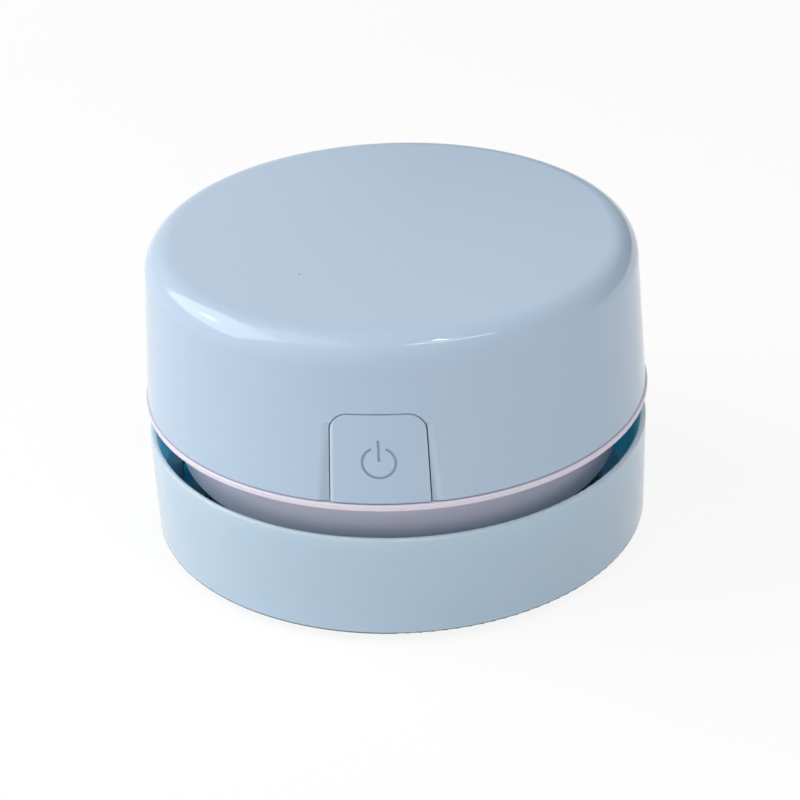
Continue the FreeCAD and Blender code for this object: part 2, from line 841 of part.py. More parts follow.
def contact_plate(side, way):
    """A flat plate on the end wall, with a raised dimple that meets the cell's nub."""
    x = side * cell_x()
    wall = cell_length / 2 + contact_space
    half = contact_half_width
    face = wall - contact_thickness
    plate = block((x - half, x + half), (face, wall), (z_cell - half, z_cell + half))
    dimple = Part.makeCylinder(cell_nub_radius, contact_space - contact_thickness / 2 - contact_gap,
                               at(x, cell_length / 2 + contact_gap, z_cell), at(0, 1, 0))
    form = plate.fuse(dimple)
    return form if way > 0 else form.mirror(at(0, 0, 0), at(0, 1, 0))


def contact_leaf(side, way):
    """A bowed leaf that presses on the flat end of a cell."""
    x = side * cell_x()
    wall = cell_length / 2 + contact_space
    tip = cell_length / 2 + contact_gap
    half = contact_half_width
    plate = block((x - half, x + half), (wall - contact_thickness, wall), (z_cell - half, z_cell + half))
    root = wall - contact_thickness + contact_gap
    bow = side_prism([
        (root, z_cell - half + leaf_thickness),
        (tip, z_cell - leaf_thickness),
        (tip, z_cell + leaf_thickness),
        (root, z_cell + half - leaf_thickness),
        (root, z_cell + half - 3 * leaf_thickness),
        (tip + leaf_thickness, z_cell),
        (root, z_cell - half + 3 * leaf_thickness),
    ], (x - leaf_half_width, x + leaf_half_width))
    form = plate.fuse(bow)
    return form if way > 0 else form.mirror(at(0, 0, 0), at(0, 1, 0))


def contact_tab(side):
    """The solder tab of a front contact, towards the middle of the body."""
    wall = -(cell_length / 2 + contact_space)
    inner = side * (cell_x() - contact_half_width - tab_reach)
    root = side * (cell_x() - contact_half_width + FUSE)
    low = z_cell + tab_lift
    x_range = (min(inner, root), max(inner, root))
    return block(x_range, (wall, wall + contact_thickness), (low, low + tab_height))


def contact_positive():
    return join(contact_plate(-1, -1), contact_tab(-1))


def contact_negative():
    return join(contact_leaf(1, -1), contact_tab(1))


def contact_bridge():
    wall = cell_length / 2 + contact_space
    inner = cell_x() - contact_half_width + FUSE
    strip = block((-inner, inner), (wall - contact_thickness, wall),
                  (z_cell - tab_height, z_cell + tab_height))
    return join(contact_leaf(-1, 1), strip, contact_plate(1, 1))


# ---- top cover and button ----

def button_outline(grow, foot):
    top = z_deck + button_height + grow
    top_round = button_top_round + grow
    foot_round = button_foot_round if foot > z_deck else 0
    return [
        (-button_foot_half - grow, foot, foot_round),
        (button_foot_half + grow, foot, foot_round),
        (button_top_half + grow, top, top_round),
        (-button_top_half - grow, top, top_round),
    ]


def facet_tool():
    """The wedge in front of the facet, with a short ramp at its upper end."""
    foot = z_deck - PAST
    near = -(body_radius - facet_depth) - facet_slope * PAST
    top = z_deck + facet_height
    far = near + facet_slope * (facet_height + PAST)
    outline = [(near, foot), (far, top), (far - facet_ramp, top + facet_ramp), (-FAR, top + facet_ramp),
               (-FAR, foot)]
    half = button_foot_half * 2
    return side_prism(outline, (-half, half))


def top_cover():
    shell = cover_form(0.0, z_deck).cut(cover_form(cover_wall, z_deck - PAST))
    notch = front_prism(button_outline(button_edge_gap, z_deck - PAST), (-FAR, -body_radius / 2))
    reveal = tube(body_radius + PAST, body_radius - reveal_depth, z_deck - PAST, z_deck + reveal_height)
    return shell.cut([notch, facet_tool(), reveal])


def power_mark():
    """The power figure as a prism: an open ring with a bar in its gap."""
    centre = z_deck + mark_height
    half = mark_line / 2
    start = at(0, -FAR, centre)
    along = at(0, 1, 0)
    ring = Part.makeCylinder(mark_radius + half, FAR, start, along)
    ring = ring.cut(Part.makeCylinder(mark_radius - half, FAR, start, along))
    reach = 2 * mark_radius
    spread = reach * math.tan(math.radians(mark_gap_half_angle))
    opening = front_prism([(0, centre, 0), (spread, centre + reach, 0), (-spread, centre + reach, 0)],
                          (-FAR, 0))
    bar = block((-half, half), (-FAR, 0), (centre + mark_bar_low, centre + mark_bar_high))
    return ring.cut(opening).fuse(bar)


def power_button():
    foot = z_deck + button_foot_gap
    lip_front = cover_wall + button_lip_gap
    back = lip_front + button_lip_thickness
    half_body = (-FAR, -body_radius / 2)
    skin = cover_form(0.0, z_deck - PAST).cut(cover_form(back, z_deck - 2 * PAST))
    plate = front_prism(button_outline(0.0, foot), half_body).common(skin)
    plate = plate.makeFillet(button_edge_round, outer_edges(plate))
    lip_skin = cover_form(lip_front, z_deck - PAST).cut(cover_form(back, z_deck - 2 * PAST))
    lip = front_prism(button_outline(button_lip, foot), half_body).common(lip_skin)
    front = -cover_radius_at(z_switch) + back
    boss = Part.makeCylinder(boss_radius, boss_height + FUSE, at(0, front - FUSE, z_switch), at(0, 1, 0))
    wing = block((wing_outside - wing_thickness, wing_outside), (front - FUSE, front + wing_length),
                 (z_deck + wing_foot, z_deck + wing_top)).common(cover_form(lip_front, z_deck - PAST))
    body = join(plate, lip, boss, wing, mirror_x(wing))
    engraving = power_mark().cut(cover_form(mark_depth, z_deck - PAST))
    return body.cut([engraving, plunger_form(0.0)])


def outer_edges(plate):
    """The edges of the plate's outer face, which lie nearest the cover's surface."""
    skin = cover_form(0.0, z_deck - PAST).Shells[0]
    near = 0.01
    return [edge for edge in plate.Edges
            if skin.distToShape(Part.Vertex(edge.valueAt(sum(edge.ParameterRange) / 2)))[0] < near]


def plunger_form(grow):
    front = switch_front() - plunger_bare - plunger_in_button
    half = plunger_half + grow
    return block((-half, half), (front, switch_front() + plunger_inside), (z_switch - half, z_switch + half))


def switch_plunger():
    return plunger_form(0.0)


def switch_body():
    front = switch_front()
    half = switch_half
    case = block((-half, half), (front, front + switch_length), (z_switch - half, z_switch + half))
    slot = plunger_half + plunger_fit
    well = block((-slot, slot), (front - PAST, front + plunger_inside + plunger_end_room),
                 (z_switch - slot, z_switch + slot))
    return case.cut(well)


def switch_pins():
    back = switch_front() + switch_length
    pins = [block((x - pin_width / 2, x + pin_width / 2), (back, back + pin_length),
                  (z_switch - pin_height / 2, z_switch + pin_height / 2))
            for x in (-pin_pitch_half, pin_pitch_half)]
    return Part.makeCompound(pins)


# ---- leads ----

def lead(points):
    """A round lead of straight runs joined by tangent arcs."""
    radii = [0.0]
    for before, corner, after in zip(points, points[1:], points[2:]):
        turn_angle = (corner - before).getAngle(after - corner)
        run = min(corner.distanceToPoint(before), corner.distanceToPoint(after))
        radii.append(bend_share * run / math.tan(turn_angle / 2))
    path = Part.Wire(bent_edges(points, radii + [0.0], False))
    start = points[0]
    section = Part.Wire(Part.makeCircle(lead_radius, start, points[1] - start))
    return path.makePipeShell([section], True, False)


def pin_end(side):
    return at(side * pin_pitch_half, switch_front() + switch_length + pin_length, z_switch)


def tab_face(side):
    x = side * (cell_x() - contact_half_width - tab_reach + 2 * lead_radius)
    y = -(cell_length / 2 + contact_space - contact_thickness)
    return at(x, y, z_cell + tab_lift + tab_height / 2)


def terminal_face(side):
    x = side * (motor_half_width + terminal_reach - lead_radius)
    return at(x, 0, z_cavity_top - 2 * brush_leaf)


def lead_cell_to_switch():
    start = pin_end(-1)
    end = tab_face(-1)
    return lead([
        start,
        start + at(0, 2.6, 0),
        start + at(-2.0, 5.4, 0.6),
        start + at(-6.4, 6.2, 1.6),
        end + at(1.0, 6.4, -0.4),
        end + at(0, 3.0, 0),
        end,
    ])


def lead_switch_to_motor():
    start = pin_end(1)
    end = terminal_face(1)
    return lead([
        start,
        start + at(0, 2.6, 0),
        start + at(2.6, 5.6, 0.2),
        start + at(7.0, 8.6, 0.6),
        end + at(1.9, -10.2, -10.4),
        end + at(2.4, -4.6, -9.4),
        end + at(1.2, -0.6, -5.4),
        end + at(0, 0, -2.2),
        end,
    ])


def lead_motor_to_cell():
    start = terminal_face(-1)
    end = tab_face(1)
    return lead([
        start,
        start + at(0, 0, -2.2),
        start + at(-1.6, -2.0, -4.8),
        start + at(-1.4, -8.2, -6.2),
        start + at(1.6, -15.2, -6.2),
        start + at(8.6, -20.6, -6.6),
        end + at(-6.4, 5.2, 2.2),
        end + at(-0.9, 5.6, 0.5),
        end + at(0, 2.4, 0),
        end,
    ])


NODES = (
    dust_cup, brush_ring, bristle_tufts, rubber_feet,
    filter_frame, filter_mesh, filter_seal,
    chassis, fan_shroud, shroud_screws, motor_clamp, clamp_screws,
    motor_can, motor_magnets, motor_end_cap, motor_bushes, motor_brushes,
    battery_left, battery_right, contact_positive, contact_negative, contact_bridge,
    switch_body, switch_pins, lead_cell_to_switch, lead_switch_to_motor, lead_motor_to_cell,
    top_cover, power_button, switch_plunger,
    motor_shaft, armature_core, armature_windings, commutator, impeller,
)

os.makedirs("parts", exist_ok=True)
for make in NODES:
    make().exportStep("parts/" + make.__name__ + ".step")
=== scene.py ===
"""Desktop mini vacuum cleaner: finishes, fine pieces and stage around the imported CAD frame."""

import json
import math
import random

import bmesh
import bpy
from bpy.props import FloatProperty, FloatVectorProperty, IntProperty, PointerProperty
from mathutils import Matrix, Vector

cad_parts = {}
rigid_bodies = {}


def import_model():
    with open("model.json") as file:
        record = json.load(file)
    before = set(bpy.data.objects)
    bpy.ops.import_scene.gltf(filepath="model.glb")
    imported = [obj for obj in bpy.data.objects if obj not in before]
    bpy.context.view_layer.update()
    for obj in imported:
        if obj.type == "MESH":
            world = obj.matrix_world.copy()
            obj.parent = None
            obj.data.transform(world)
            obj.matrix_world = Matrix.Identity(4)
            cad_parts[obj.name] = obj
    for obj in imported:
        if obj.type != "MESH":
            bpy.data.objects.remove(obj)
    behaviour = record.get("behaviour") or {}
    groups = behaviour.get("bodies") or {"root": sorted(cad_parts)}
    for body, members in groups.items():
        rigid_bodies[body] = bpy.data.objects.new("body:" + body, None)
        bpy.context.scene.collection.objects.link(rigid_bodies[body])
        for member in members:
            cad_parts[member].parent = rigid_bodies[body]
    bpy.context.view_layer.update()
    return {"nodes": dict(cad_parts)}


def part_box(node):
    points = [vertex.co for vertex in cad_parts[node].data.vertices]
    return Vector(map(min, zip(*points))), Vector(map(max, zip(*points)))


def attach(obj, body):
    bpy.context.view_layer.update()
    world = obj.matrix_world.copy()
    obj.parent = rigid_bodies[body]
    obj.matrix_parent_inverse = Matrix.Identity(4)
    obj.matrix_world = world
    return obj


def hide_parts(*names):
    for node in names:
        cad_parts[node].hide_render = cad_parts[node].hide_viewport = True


for spare in list(bpy.data.objects):
    bpy.data.objects.remove(spare)
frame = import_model()
NODES = frame["nodes"]

bl_info = {
    "name": "Desktop Mini Vacuum",
    "version": (1, 0, 0),
    "blender": (4, 5, 0),
    "location": "View3D > Sidebar > Mini Vacuum",
    "description": "Finishes, fine pieces and stage for the desktop mini vacuum cleaner",
    "category": "Object",
}


# ---- settings a user would change ----

def colour_setting(name, description, default):
    return FloatVectorProperty(name=name, description=description, subtype="COLOR", size=3,
                               min=0.0, max=1.0, default=default)


def length_setting(name, description, default):
    return FloatProperty(name=name, description=description, unit="LENGTH", min=0.0, precision=5,
                         default=default)


def power_setting(name, description, default):
    return FloatProperty(name=name, description=description, unit="POWER", min=0.0, default=default)


class MINIVAC_PG_colours(bpy.types.PropertyGroup):
    """Base colours of the finishes."""

    shell: colour_setting("Shell", "Pale blue plastic of the cover and button", (0.46, 0.59, 0.74))
    cup: colour_setting("Cup", "Pale blue plastic of the dust cup", (0.495, 0.636, 0.8))
    # painted bounce light: a bluer copy of the cup's plastic for its walls deep in the slot
    channel: colour_setting("Air channel", "The cup's plastic where it is seen deep in the slot",
                            (0.33, 0.7, 1.0))
    chassis: colour_setting("Chassis", "Off-white plastic of the flange and skirt", (0.78, 0.73, 0.83))
    # painted shade: the skirt darker and bluer towards its foot, for shade and blue light bounced from the
    # cup
    skirt_foot_painted_shade: colour_setting("Skirt foot", "The skirt where blown dust has dulled it", (0.55, 0.58, 0.66))
    black: colour_setting("Black parts", "Black plastic of the filter frame and fan shroud",
                          (0.018, 0.02, 0.024))
    rubber: colour_setting("Rubber", "Feet and seal", (0.04, 0.04, 0.043))
    bristle: colour_setting("Bristles", "Nylon fibres of the brush", (0.04, 0.04, 0.045))
    cloth: colour_setting("Filter cloth", "Woven cloth of the filter", (0.62, 0.64, 0.66))
    fan: colour_setting("Fan", "Plastic of the impeller", (0.72, 0.72, 0.74))
    sleeve: colour_setting("Cell sleeve", "Shrink sleeve of the two cells", (0.05, 0.16, 0.12))


class MINIVAC_PG_details(bpy.types.PropertyGroup):
    """Sizes of the fine pieces."""

    fibres: IntProperty(name="Fibres", description="Fibres in each tuft of the brush", min=1, max=60,
                        default=22)
    fibre_radius: length_setting("Fibre radius", "Half the thickness of one brush fibre", 0.00005)
    weave_pitch: length_setting("Weave pitch", "Distance between threads of the filter cloth", 0.0006)
    sleeve_lip: length_setting("Sleeve lip", "How far a cell's sleeve folds over its end", 0.0012)
    solder_size: length_setting("Solder size", "Radius of the solder at a lead's end", 0.00085)


class MINIVAC_PG_stage(bpy.types.PropertyGroup):
    """Lamps and surroundings."""

    left_power: power_setting("Left power", "Wide soft lamp on the left", 2.45)
    spot_power: power_setting("Spot power", "Small bright middle of the left lamp", 0.11)
    left_upper_power: power_setting("Upper left power", "Soft lamp above the left one", 0.42)
    left_low_power: power_setting("Low left power", "Long low lamp on the left", 1.0)
    front_low_power: power_setting("Low front power", "Long low lamp in front", 0.92)
    right_low_power: power_setting("Low right power", "Low lamp on the right", 0.35)
    front_power: power_setting("Front power", "Large dim lamp high in front, on the right", 0.85)
    streak_power: power_setting("Streak power", "Narrow lamp that draws a streak on the shoulder", 0.27)
    glint_power: power_setting("Glint power", "Tiny lamp that makes a glint on the shoulder", 0.2)
    ambient: FloatProperty(name="Ambient", description="Strength of the even light from all round",
                           min=0.0, default=0.24)
    floor_glow: FloatProperty(name="Floor glow", description="How much of the floor's white needs no light",
                              min=0.0, max=1.0, default=0.86)


# ---- node trees ----

MIX_INPUTS = (0, 6, 7)  # share and two colours, among a Mix node's inputs
MIX_COLOUR = 2


class Tree:
    """Short ways to add and join the nodes of one tree."""

    def __init__(self, tree):
        self.tree = tree

    def node(self, kind, **settings):
        made = self.tree.nodes.new("ShaderNode" + kind)
        for name, value in settings.items():
            setattr(made, name, value)
        return made

    def feed(self, socket, value):
        if isinstance(value, bpy.types.NodeSocket):
            self.tree.links.new(value, socket)
        else:
            socket.default_value = value

    def filled(self, kind, *values, **settings):
        """The first output of a new node whose inputs take the values in their order."""
        made = self.node(kind, **settings)
        for socket, value in zip(made.inputs, values):
            self.feed(socket, value)
        return made.outputs[0]

    def maths(self, operation, *values, clamp=False):
        return self.filled("Math", *values, operation=operation, use_clamp=clamp)

    def product(self, first, *others):
        for other in others:
            first = self.maths("MULTIPLY", first, other)
        return first

    def vector(self, operation, first, second=None, scale=None):
        made = self.node("VectorMath", operation=operation)
        self.feed(made.inputs[0], first)
        if second is not None:
            self.feed(made.inputs[1], second)
        if scale is not None:
            self.feed(made.inputs["Scale"], scale)
        return made.outputs["Value" if operation in ("DOT_PRODUCT", "LENGTH") else "Vector"]

    def mix(self, share, first, second):
        made = self.node("Mix", data_type="RGBA")
        for number, value in zip(MIX_INPUTS, (share, first, second)):
            self.feed(made.inputs[number], value)
        return made.outputs[MIX_COLOUR]

    def span(self, value, start, full, low=0.0, high=1.0):
        """From low where the value is at start to high where it is at full."""
        return self.filled("MapRange", value, start, full, low, high, clamp=True)

    def span_from(self, value, face, offsets):
        """From 0 to 1 between two offsets from a face."""
        return self.span(value, face + offsets[0], face + offsets[1])

    def noise(self, place, scale, detail):
        made = self.node("TexNoise")
        self.feed(made.inputs["Vector"], place)
        self.feed(made.inputs["Scale"], scale)
        self.feed(made.inputs["Detail"], detail)
        return made.outputs[0]

    def split(self, place):
        made = self.node("SeparateXYZ")
        self.feed(made.inputs[0], place)
        return made.outputs

    def combine(self, x, y, z):
        return self.filled("CombineXYZ", x, y, z)

    def from_axis(self, at):
        """How far a point is from the Z axis."""
        return self.vector("LENGTH", self.combine(at["X"], at["Y"], 0.0))

    def normal(self):
        return self.node("NewGeometry").outputs["Normal"]

    def group(self, name, **values):
        made = self.node("Group", node_tree=bpy.data.node_groups[name])
        for socket, value in values.items():
            self.feed(made.inputs[socket.replace("_", " ")], value)
        return made.outputs


VECTOR_LABELS = ("Place", "Stretch")


def new_group(name, inputs, outputs):
    """An empty node group with its sockets, as (tree, input sockets, output sockets)."""
    made = bpy.data.node_groups.new(name, "ShaderNodeTree")
    for way, labels in (("INPUT", inputs), ("OUTPUT", outputs)):
        for label in labels:
            kind = "Color" if "Colour" in label else "Vector" if label in VECTOR_LABELS else "Float"
            made.interface.new_socket(label, in_out=way, socket_type="NodeSocket" + kind)
    given = made.nodes.new("NodeGroupInput").outputs
    result = made.nodes.new("NodeGroupOutput").inputs
    return Tree(made), given, result


def lay_colour(tree, given, result, label, mask):
    """Put out the mask, and the group's first colour with its second one where the mask is 1."""
    tree.feed(result["Mask"], mask)
    tree.feed(result["Colour"], tree.mix(mask, given["Colour"], given[label]))


# Below, a noise is (scale, detail), and a range is (start, full) or (start, full, low, high).

CLOUD = (46.0, 3.0)
FINE_CLOUD = (620.0, 2.0)
RIPPLE = (30.0, 1.0)
GRAIN_DETAIL = 2.0
NOISE_MEAN = 0.5


def moulded_surface_group():
    """Plastic from a mould: clouded colour, uneven gloss, a faint ripple and a fine grain."""
    tree, given, result = new_group(
        "Moulded Surface",
        ("Place", "Colour", "Mottle", "Roughness", "Unevenness", "Grain Scale", "Grain Depth",
         "Ripple Depth"),
        ("Colour", "Roughness", "Height"))
    place = given["Place"]
    cloud = tree.noise(place, *CLOUD)
    fine = tree.noise(place, *FINE_CLOUD)
    shade = tree.maths("MULTIPLY_ADD", tree.maths("SUBTRACT", cloud, NOISE_MEAN), given["Mottle"], 1.0)
    tree.feed(result["Colour"], tree.vector("SCALE", given["Colour"], scale=shade))
    both = tree.maths("SUBTRACT", tree.maths("ADD", cloud, fine), 2 * NOISE_MEAN)
    uneven = tree.product(both, given["Unevenness"])
    tree.feed(result["Roughness"], tree.maths("ADD", given["Roughness"], uneven, clamp=True))
    grain = tree.product(tree.noise(place, given["Grain Scale"], GRAIN_DETAIL), given["Grain Depth"])
    ripple = tree.product(tree.noise(place, *RIPPLE), given["Ripple Depth"])
    tree.feed(result["Height"], tree.maths("ADD", grain, ripple))


EDGE_SAMPLES = 4
EDGE_AGREEMENT = (0.995, 0.85)  # of the rounded normal with the true one
WEAR_PATCHES = (380.0, 3.0)
PATCH_WORN = (0.38, 0.62)


def worn_edges_group():
    """Edges rubbed paler, found from how far the surface turns within a small distance."""
    tree, given, result = new_group(
        "Worn Edges", ("Place", "Colour", "Worn Colour", "Width", "Amount"), ("Colour", "Mask"))
    bevel = tree.node("Bevel", samples=EDGE_SAMPLES)
    tree.feed(bevel.inputs["Radius"], given["Width"])
    agreement = tree.vector("DOT_PRODUCT", bevel.outputs["Normal"], tree.normal())
    broken = tree.span(tree.noise(given["Place"], *WEAR_PATCHES), *PATCH_WORN)
    mask = tree.product(tree.span(agreement, *EDGE_AGREEMENT), broken, given["Amount"])
    lay_colour(tree, given, result, "Worn Colour", mask)


SPECK_SIZE = (0.022, 0.014)
SPECKS_CHOSEN = (0.6, 0.62)


def moulding_specks_group():
    """A few tiny dark specks, far apart, such as a mould leaves in pale plastic."""
    tree, given, result = new_group(
        "Moulding Specks", ("Place", "Colour", "Speck Colour", "Spread"), ("Colour", "Mask"))
    cells = tree.node("TexVoronoi")
    tree.feed(cells.inputs["Vector"], given["Place"])
    tree.feed(cells.inputs["Scale"], given["Spread"])
    spot = tree.span(cells.outputs["Distance"], *SPECK_SIZE)
    chosen = tree.span(tree.split(cells.outputs["Color"])["X"], *SPECKS_CHOSEN)
    lay_colour(tree, given, result, "Speck Colour", tree.product(spot, chosen))


DUST_SLOPE = (0.4, 0.95)
DUST_PATCHES = (210.0, 4.0)
PATCH_DUSTY = (0.42, 0.75)
PATCH_DEPTH = 0.5
DUST_SPECKS = (2600.0, 1.0)
SPECK_DUSTY = (0.6, 0.72)


def settled_dust_group():
    """Fine dust that lies on what faces upwards."""
    tree, given, result = new_group(
        "Settled Dust", ("Place", "Colour", "Dust Colour", "Amount"), ("Colour", "Mask"))
    facing = tree.span(tree.split(tree.normal())["Z"], *DUST_SLOPE)
    patches = tree.span(tree.noise(given["Place"], *DUST_PATCHES), *PATCH_DUSTY)
    specks = tree.span(tree.noise(given["Place"], *DUST_SPECKS), *SPECK_DUSTY)
    spread = tree.maths("MAXIMUM", tree.product(patches, PATCH_DEPTH), specks)
    lay_colour(tree, given, result, "Dust Colour", tree.product(facing, spread, given["Amount"]))


DRAWN_LINES = (1.0, 3.0)
LINE_SHADE = (0.2, 0.8, 0.84, 1.06)
LINE_ROUGHNESS = (0.2, 0.8, 0.75, 1.3)
LINE_HEIGHT = 4e-6
BLOOM = (160.0, 3.0)
BLOOM_SHADE = (0.3, 0.7, -0.1, 0.06)
BLOOM_ROUGHNESS = (0.4, 0.8, 0.0, 0.12)


def drawn_metal_group():
    """Metal with fine lines along one direction, given by how far each axis is stretched."""
    tree, given, result = new_group(
        "Drawn Metal", ("Place", "Stretch", "Colour", "Roughness"), ("Colour", "Roughness", "Height"))
    lines = tree.noise(tree.vector("MULTIPLY", given["Place"], given["Stretch"]), *DRAWN_LINES)
    bloom = tree.noise(given["Place"], *BLOOM)
    shade = tree.maths("ADD", tree.span(lines, *LINE_SHADE), tree.span(bloom, *BLOOM_SHADE))
    tree.feed(result["Colour"], tree.vector("SCALE", given["Colour"], scale=shade))
    rough = tree.product(given["Roughness"], tree.span(lines, *LINE_ROUGHNESS))
    tree.feed(result["Roughness"], tree.maths("ADD", rough, tree.span(bloom, *BLOOM_ROUGHNESS)))
    tree.feed(result["Height"], tree.product(lines, LINE_HEIGHT))


THREAD_WAVE = (0.4, 0.6)  # swing and middle of a thread's height, as shares of the relief
THREAD_EDGE = (0.25, 0.5)
CLOTH_RELIEF = 0.00014


def woven_cloth_group():
    """A plain weave in X and Y: the height of its threads and a mask that is 0 in the holes."""
    tree, given, result = new_group("Woven Cloth", ("Place", "Pitch"), ("Height", "Thread"))
    at = tree.split(given["Place"])
    x = tree.maths("DIVIDE", at["X"], given["Pitch"])
    y = tree.maths("DIVIDE", at["Y"], given["Pitch"])

    def threads(along, across, phase):
        """The threads that run along one axis, as they ride over and under the others."""
        rounded = tree.maths("ABSOLUTE", tree.maths("COSINE", tree.product(across, math.pi)))
        lane = tree.maths("ROUND", across)
        turn = tree.product(tree.maths("ADD", tree.maths("ADD", along, lane), phase), math.pi)
        return tree.product(rounded, tree.maths("MULTIPLY_ADD", tree.maths("COSINE", turn), *THREAD_WAVE))

    top = tree.maths("MAXIMUM", threads(y, x, 0.0), threads(x, y, 1.0))
    tree.feed(result["Height"], tree.product(top, CLOTH_RELIEF))
    tree.feed(result["Thread"], tree.span(top, *THREAD_EDGE))


GROUP_MAKERS = (moulded_surface_group, worn_edges_group, moulding_specks_group, settled_dust_group,
                drawn_metal_group, woven_cloth_group)


def grey(share):
    return (share, share, share, 1.0)


def opaque(colour):
    return (*colour, 1.0)


def paler(colour, share):
    return (*(part + (1.0 - part) * share for part in colour), 1.0)


def new_material(name, **constants):
    """(material, tree, its Principled BSDF with the given even values, place on the object)."""
    made = bpy.data.materials.new(name)
    made.use_nodes = True
    made.node_tree.nodes.clear()
    tree = Tree(made.node_tree)
    shader = tree.node("BsdfPrincipled")
    tree.feed(tree.node("OutputMaterial").inputs["Surface"], shader.outputs[0])
    for socket, value in constants.items():
        shader.inputs[socket.replace("_", " ")].default_value = value
    return made, tree, shader, tree.node("TexCoord").outputs["Object"]


def lay_surface(tree, shader, colour, roughness, height):
    """Feed a shader with what changes over its surface, the height through a bump."""
    tree.feed(shader.inputs["Base Color"], colour)
    tree.feed(shader.inputs["Roughness"], roughness)
    bump = tree.node("Bump")
    bump.inputs["Distance"].default_value = 1.0
    tree.feed(bump.inputs["Height"], height)
    tree.feed(shader.inputs["Normal"], bump.outputs[0])


WORN_WIDTH = 0.0002
WORN_PALER = 0.25
WORN_ROUGHER = 0.12
DUST_COLOUR = (0.42, 0.41, 0.39, 1.0)
DUST_ROUGHNESS = 0.8


def plastic(name, colour, roughness, mottle=0.04, unevenness=0.06, grain_scale=5200.0, grain_depth=0.0,
            ripple=0.0, wear=0.35, worn=None, dust=0.0, tint=None, **constants):
    """Moulded plastic. A tint is a function that puts a second colour on part of the surface."""
    made, tree, shader, place = new_material(name, **constants)
    shown = tint(tree, place, opaque(colour)) if tint else opaque(colour)
    surface = tree.group("Moulded Surface", Place=place, Colour=shown, Mottle=mottle,
                         Roughness=roughness, Unevenness=unevenness, Grain_Scale=grain_scale,
                         Grain_Depth=grain_depth, Ripple_Depth=ripple)
    shown = surface["Colour"]
    rough = surface["Roughness"]
    if wear:
        edges = tree.group("Worn Edges", Place=place, Colour=shown, Width=WORN_WIDTH, Amount=wear,
                           Worn_Colour=opaque(worn) if worn else paler(colour, WORN_PALER))
        shown = edges["Colour"]
        rough = tree.maths("MULTIPLY_ADD", edges["Mask"], WORN_ROUGHER, rough)
    if dust:
        settled = tree.group("Settled Dust", Place=place, Colour=shown, Amount=dust, Dust_Colour=DUST_COLOUR)
        shown = settled["Colour"]
        rough = tree.maths("MAXIMUM", rough, tree.product(settled["Mask"], DUST_ROUGHNESS))
    lay_surface(tree, shader, shown, rough, surface["Height"])
    return made


def grained_black(name, colour, roughness, dust):
    """The black plastic of the filter frame and the fan shroud."""
    return plastic(name, colour, roughness, grain_scale=4200.0, grain_depth=8e-6, worn=(0.09, 0.09, 0.1),
                   dust=dust)


SPECK_SHIFT = (0.0474, 0.0047, 0.0)  # slides the scatter of specks over the shells
SPECK_SPREAD = 55.0
SPECK_COLOUR = (0.12, 0.16, 0.2, 1.0)


def shell_gloss(name, colour, roughness, tint, **constants):
    """The pale gloss plastic of the outer shell."""

    def speckled(tree, place, base):
        specks = tree.group("Moulding Specks", Place=tree.vector("ADD", place, SPECK_SHIFT),
                            Colour=tint(tree, place, base), Spread=SPECK_SPREAD, Speck_Colour=SPECK_COLOUR)
        return specks["Colour"]

    return plastic(name, colour, roughness, mottle=0.03, unevenness=0.05, ripple=5e-6, grain_scale=2400.0,
                   grain_depth=1.0e-6, wear=0.06, IOR=1.5, tint=speckled, **constants)


METAL_WORN_WIDTH = 0.00015
METAL_WORN_PALER = 0.35


def metal(name, colour, roughness, stretch, wear=0.3):
    made, tree, shader, place = new_material(name, Metallic=1.0)
    surface = tree.group("Drawn Metal", Place=place, Stretch=stretch, Colour=opaque(colour),
                         Roughness=roughness)
    edges = tree.group("Worn Edges", Place=place, Colour=surface["Colour"], Width=METAL_WORN_WIDTH,
                       Amount=wear, Worn_Colour=paler(colour, METAL_WORN_PALER))
    lay_surface(tree, shader, edges["Colour"], surface["Roughness"], surface["Height"])
    return made


DARK_GAP = (0.03, 0.03, 0.03, 1.0)


def cloth(name, colour, pitch):
    made, tree, shader, place = new_material(name, Sheen_Weight=0.3)
    weave = tree.group("Woven Cloth", Place=place, Pitch=pitch)
    gaps = tree.mix(weave["Thread"], DARK_GAP, opaque(colour))
    settled = tree.group("Settled Dust", Place=place, Colour=gaps, Amount=0.5,
                         Dust_Colour=(0.36, 0.34, 0.31, 1.0))
    lay_surface(tree, shader, settled["Colour"], 0.85, weave["Height"])
    return made


JOINT_EDGE = (0.36, 0.46)  # from a sheet's middle, in sheets
JOINT_DEPTH = 6e-5


def lamination(name, colour, pitch):
    """Stacked sheets: thin dark joints across Z."""
    made, tree, shader, place = new_material(name, Metallic=1.0)
    layer = tree.maths("FRACT", tree.maths("DIVIDE", tree.split(place)["Z"], pitch))
    joint = tree.span(tree.maths("ABSOLUTE", tree.maths("SUBTRACT", layer, 0.5)), *JOINT_EDGE)
    surface = tree.group("Drawn Metal", Place=place, Stretch=(900, 900, 900), Colour=opaque(colour),
                         Roughness=0.45)
    shown = tree.mix(joint, surface["Colour"], DARK_GAP)
    lay_surface(tree, shader, shown, surface["Roughness"], tree.product(joint, -JOINT_DEPTH))
    return made


COIL_RADIUS = 0.0045
WIRE_WANDER = (420.0, 2.0)
WANDER_REACH = 1.2  # in wires
WIRE_SHADE = (0.1, 0.7)
WIRE_ROUGHNESS = (0.0, 1.0, 0.5, 0.26)
WIRE_HEIGHT = 0.00006
ENAMEL_SHADOW = (0.12, 0.03, 0.015, 1.0)


